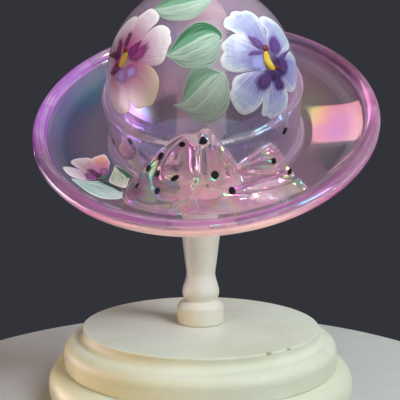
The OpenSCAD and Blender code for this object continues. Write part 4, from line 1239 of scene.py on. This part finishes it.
ringAt = calc(tree, "MULTIPLY", calc(tree, "POWER", ringAt, 0.5), stand["brushMarks"])
turnAt = calc(tree, "MULTIPLY", calc(tree, "ARCTAN2", x, y), 2.0)
swept = vectorOf(tree, ringAt, calc(tree, "MULTIPLY", z, stand["brushMarks"]), turnAt)  # marks run round
brush = noise(tree, swept, 1.0, 2.0)
patchy = noise(tree, place, 22.0, 4.0)
base = lay(tree, tint(stand["ivory"]), stand["cream"], patchy, 0.35, 0.7)
base = lay(tree, base, stand["shade"], brush, 0.55, 0.75, 0.3)
speck = noise(tree, place, 900.0, 1.0)
ragged = calc(tree, "MULTIPLY", noise(tree, place, 800.0, 3.0), 0.0026)
for x, y, z, size in stand["chips"]:
    apart = vectorCalc(tree, "SUBTRACT", place, (x * mm, y * mm, z * mm))
    away = vectorCalc(tree, "LENGTH", vectorCalc(tree, "MULTIPLY", apart, (0.6, 0.6, 1.8)))
    base = lay(tree, base, stand["chip"], calc(tree, "ADD", away, ragged), (size + 0.6) * mm, size * mm)
base = lay(tree, base, stand["chip"], speck, 0.74, 0.8, 0.4)
plug(tree, shader.inputs["Base Color"], base)
plug(tree, shader.inputs["Roughness"], spread(tree, patchy, 0.3, 0.7, 0.38, 0.52))
relief = calc(tree, "ADD", brush, calc(tree, "MULTIPLY", patchy, 2.0))
plug(tree, shader.inputs["Normal"], bump(tree, relief, 0.15, 0.0004))


def easedProfile(points, count, window=5):
    # equal steps, with corners eased by a short moving mean, ends held
    line = evenly(np.asarray(points, float), count)
    soft = softened(line, np.hanning(window + 2)[1:-1])
    soft[0], soft[-1] = line[0], line[-1]
    return soft


padZ = stand["padThick"]
lowZ, topZ = padZ + stand["lowerThick"], padZ + stand["lowerThick"] + stand["upperThick"]
lowerR, upperR, topR = stand["lowerDiameter"] / 2, stand["upperDiameter"] / 2, stand["topDiameter"] / 2
nose, cove, lip = stand["nose"], stand["cove"], stand["lip"]
ovolo = upperR - topR - cove
upperProfile = easedProfile(np.concatenate([
    [[0, topZ], [topR, topZ], [topR, topZ - lip]], arc((topR + cove, topZ - lip), cove, 180, 270, 14),
    arc((upperR - ovolo, topZ - lip - cove - ovolo), ovolo, 90, 0, 16), [[upperR, lowZ], [0, lowZ]]]), 420, 5)
lowerProfile = easedProfile(np.concatenate([
    [[0, lowZ]], arc((lowerR - nose, lowZ - nose), nose, 90, 0, 24),
    arc((lowerR - nose, padZ + nose), nose, 0, -90, 24), [[0, padZ]]]), 300, 3)
footR, shaftR = stand["footDiameter"] / 2, stand["shaftDiameter"] / 2


def shaftRadius(z):  # groove, bulge and neck joined by cosine waves, then a flare that slows to the shaft
    ease = lambda t: (1 - np.cos(np.pi * np.clip(t, 0, 1))) / 2
    groove, bulge, neck, wide = (stand[key + "Diameter"] / 2 for key in ("groove", "bulge", "neck", "shaft"))
    foot, bulgeAt, neckAt, flareAt = (stand[key] for key in ("footHeight", "bulgeAt", "neckAt", "flareAt"))
    low = np.where(z < bulgeAt, groove + (bulge - groove) * ease((z - foot) / (bulgeAt - foot)),
                   bulge + (neck - bulge) * ease((z - bulgeAt) / (neckAt - bulgeAt)))
    flare = neck + (wide - neck) * (1 - (1 - np.clip((z - neckAt) / (flareAt - neckAt), 0, 1)) ** 1.5)
    return np.where(z < neckAt, low, flare)


shaftTop, footRound = stand["postHeight"] - shaftR, stand["footRound"]
shaftZ = np.linspace(stand["footHeight"], shaftTop, 160)
postProfile = np.concatenate([
    arc((0, shaftTop), shaftR, 90, 0, 24), np.stack([shaftRadius(shaftZ), shaftZ], 1)[::-1],
    arc((footR - footRound, stand["footHeight"] - footRound), footRound, 80, 0, 14),
    [[footR, 0.6], [footR - 0.6, 0], [0, 0]]])
postProfile = easedProfile(postProfile + [0, topZ], 520, 5)
turnedPieces = [("upperDisc", upperProfile, 240, "upper_disc"),
                ("lowerDisc", lowerProfile, 240, "lower_disc"), ("turnedPost", postProfile, 120, "post")]
for name, profile, columns, node in turnedPieces:
    points, faces = turned(profile, columns)
    addPiece(name, points * mm, faces, paintMaterial, "stand", "ivory_paint", (node,))

# felt under the base and over the post's top, and the hidden screws
feltSettings = dict(pad=("#b9b29a", "#9c957e"), cap=("#e2dccb", "#cfc7b1"), fibre=700.0,
                    capHem=0.3, featherFrom=40)  # the cap's hem in mm, and where it starts to thin
screwSettings = dict(pale="#b9b5a6", dark="#8f8b80", grain=400.0)


def feltMaterial(name, pale, dark):
    material, tree, shader = newMaterial(name)
    place = objectPlace(tree)
    fibre = noise(tree, place, feltSettings["fibre"], 4.0, 0.7)
    tufts = calc(tree, "ADD", fibre, calc(tree, "MULTIPLY", noise(tree, place, 60.0), 0.4))
    plug(tree, shader.inputs["Base Color"], lay(tree, tint(dark), pale, tufts, 0.5, 0.9))
    shader.inputs["Roughness"].default_value = 0.95
    shader.inputs["Sheen Weight"].default_value = 0.3
    plug(tree, shader.inputs["Normal"], bump(tree, fibre, 0.5, 0.0006))
    return material


capIn = shaftR + hat["restGap"]
capTurn = np.radians(np.linspace(90, 0, 40))
feather = np.radians(feltSettings["featherFrom"])
capOuter = capRadius - (capRadius - capIn - feltSettings["capHem"]) * smooth((feather - capTurn) / feather)
capOutside = np.stack([capOuter * np.cos(capTurn), capCentre + capOuter * np.sin(capTurn)], 1)
capProfile = np.concatenate([capOutside, arc((0, capCentre), capIn, 0, 90, 40)])
points, faces = turned(easedProfile(capProfile, 160, 3), 120)
capFelt = feltMaterial("capFelt", *feltSettings["cap"])
addPiece("feltCap", points * mm, faces, capFelt, "cap", "cap_felt", ("felt_cap",))
padR = lowerR - stand["padInset"]
padProfile = easedProfile(np.array([[0, padZ], [padR, padZ], [padR, 0], [0, 0]]), 240, 5)
points, faces = turned(padProfile, 180)
padFelt = feltMaterial("padFelt", *feltSettings["pad"])
addPiece("basePad", points * mm, faces, padFelt, "stand", "base_felt", ("base_pad",))
screwMaterial, tree, shader = newMaterial("zincSteel")
grain = noise(tree, objectPlace(tree), screwSettings["grain"])
zinc = blend(tree, grain, tint(screwSettings["pale"]), tint(screwSettings["dark"]))
plug(tree, shader.inputs["Base Color"], zinc)
plug(tree, shader.inputs["Roughness"], spread(tree, grain, 0.3, 0.7, 0.25, 0.45))
shader.inputs["Metallic"].default_value = 1.0
for node in ("post_screw", "disc_screws"):
    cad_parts[node].data.materials.clear()
    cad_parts[node].data.materials.append(screwMaterial)
print("stand turned")
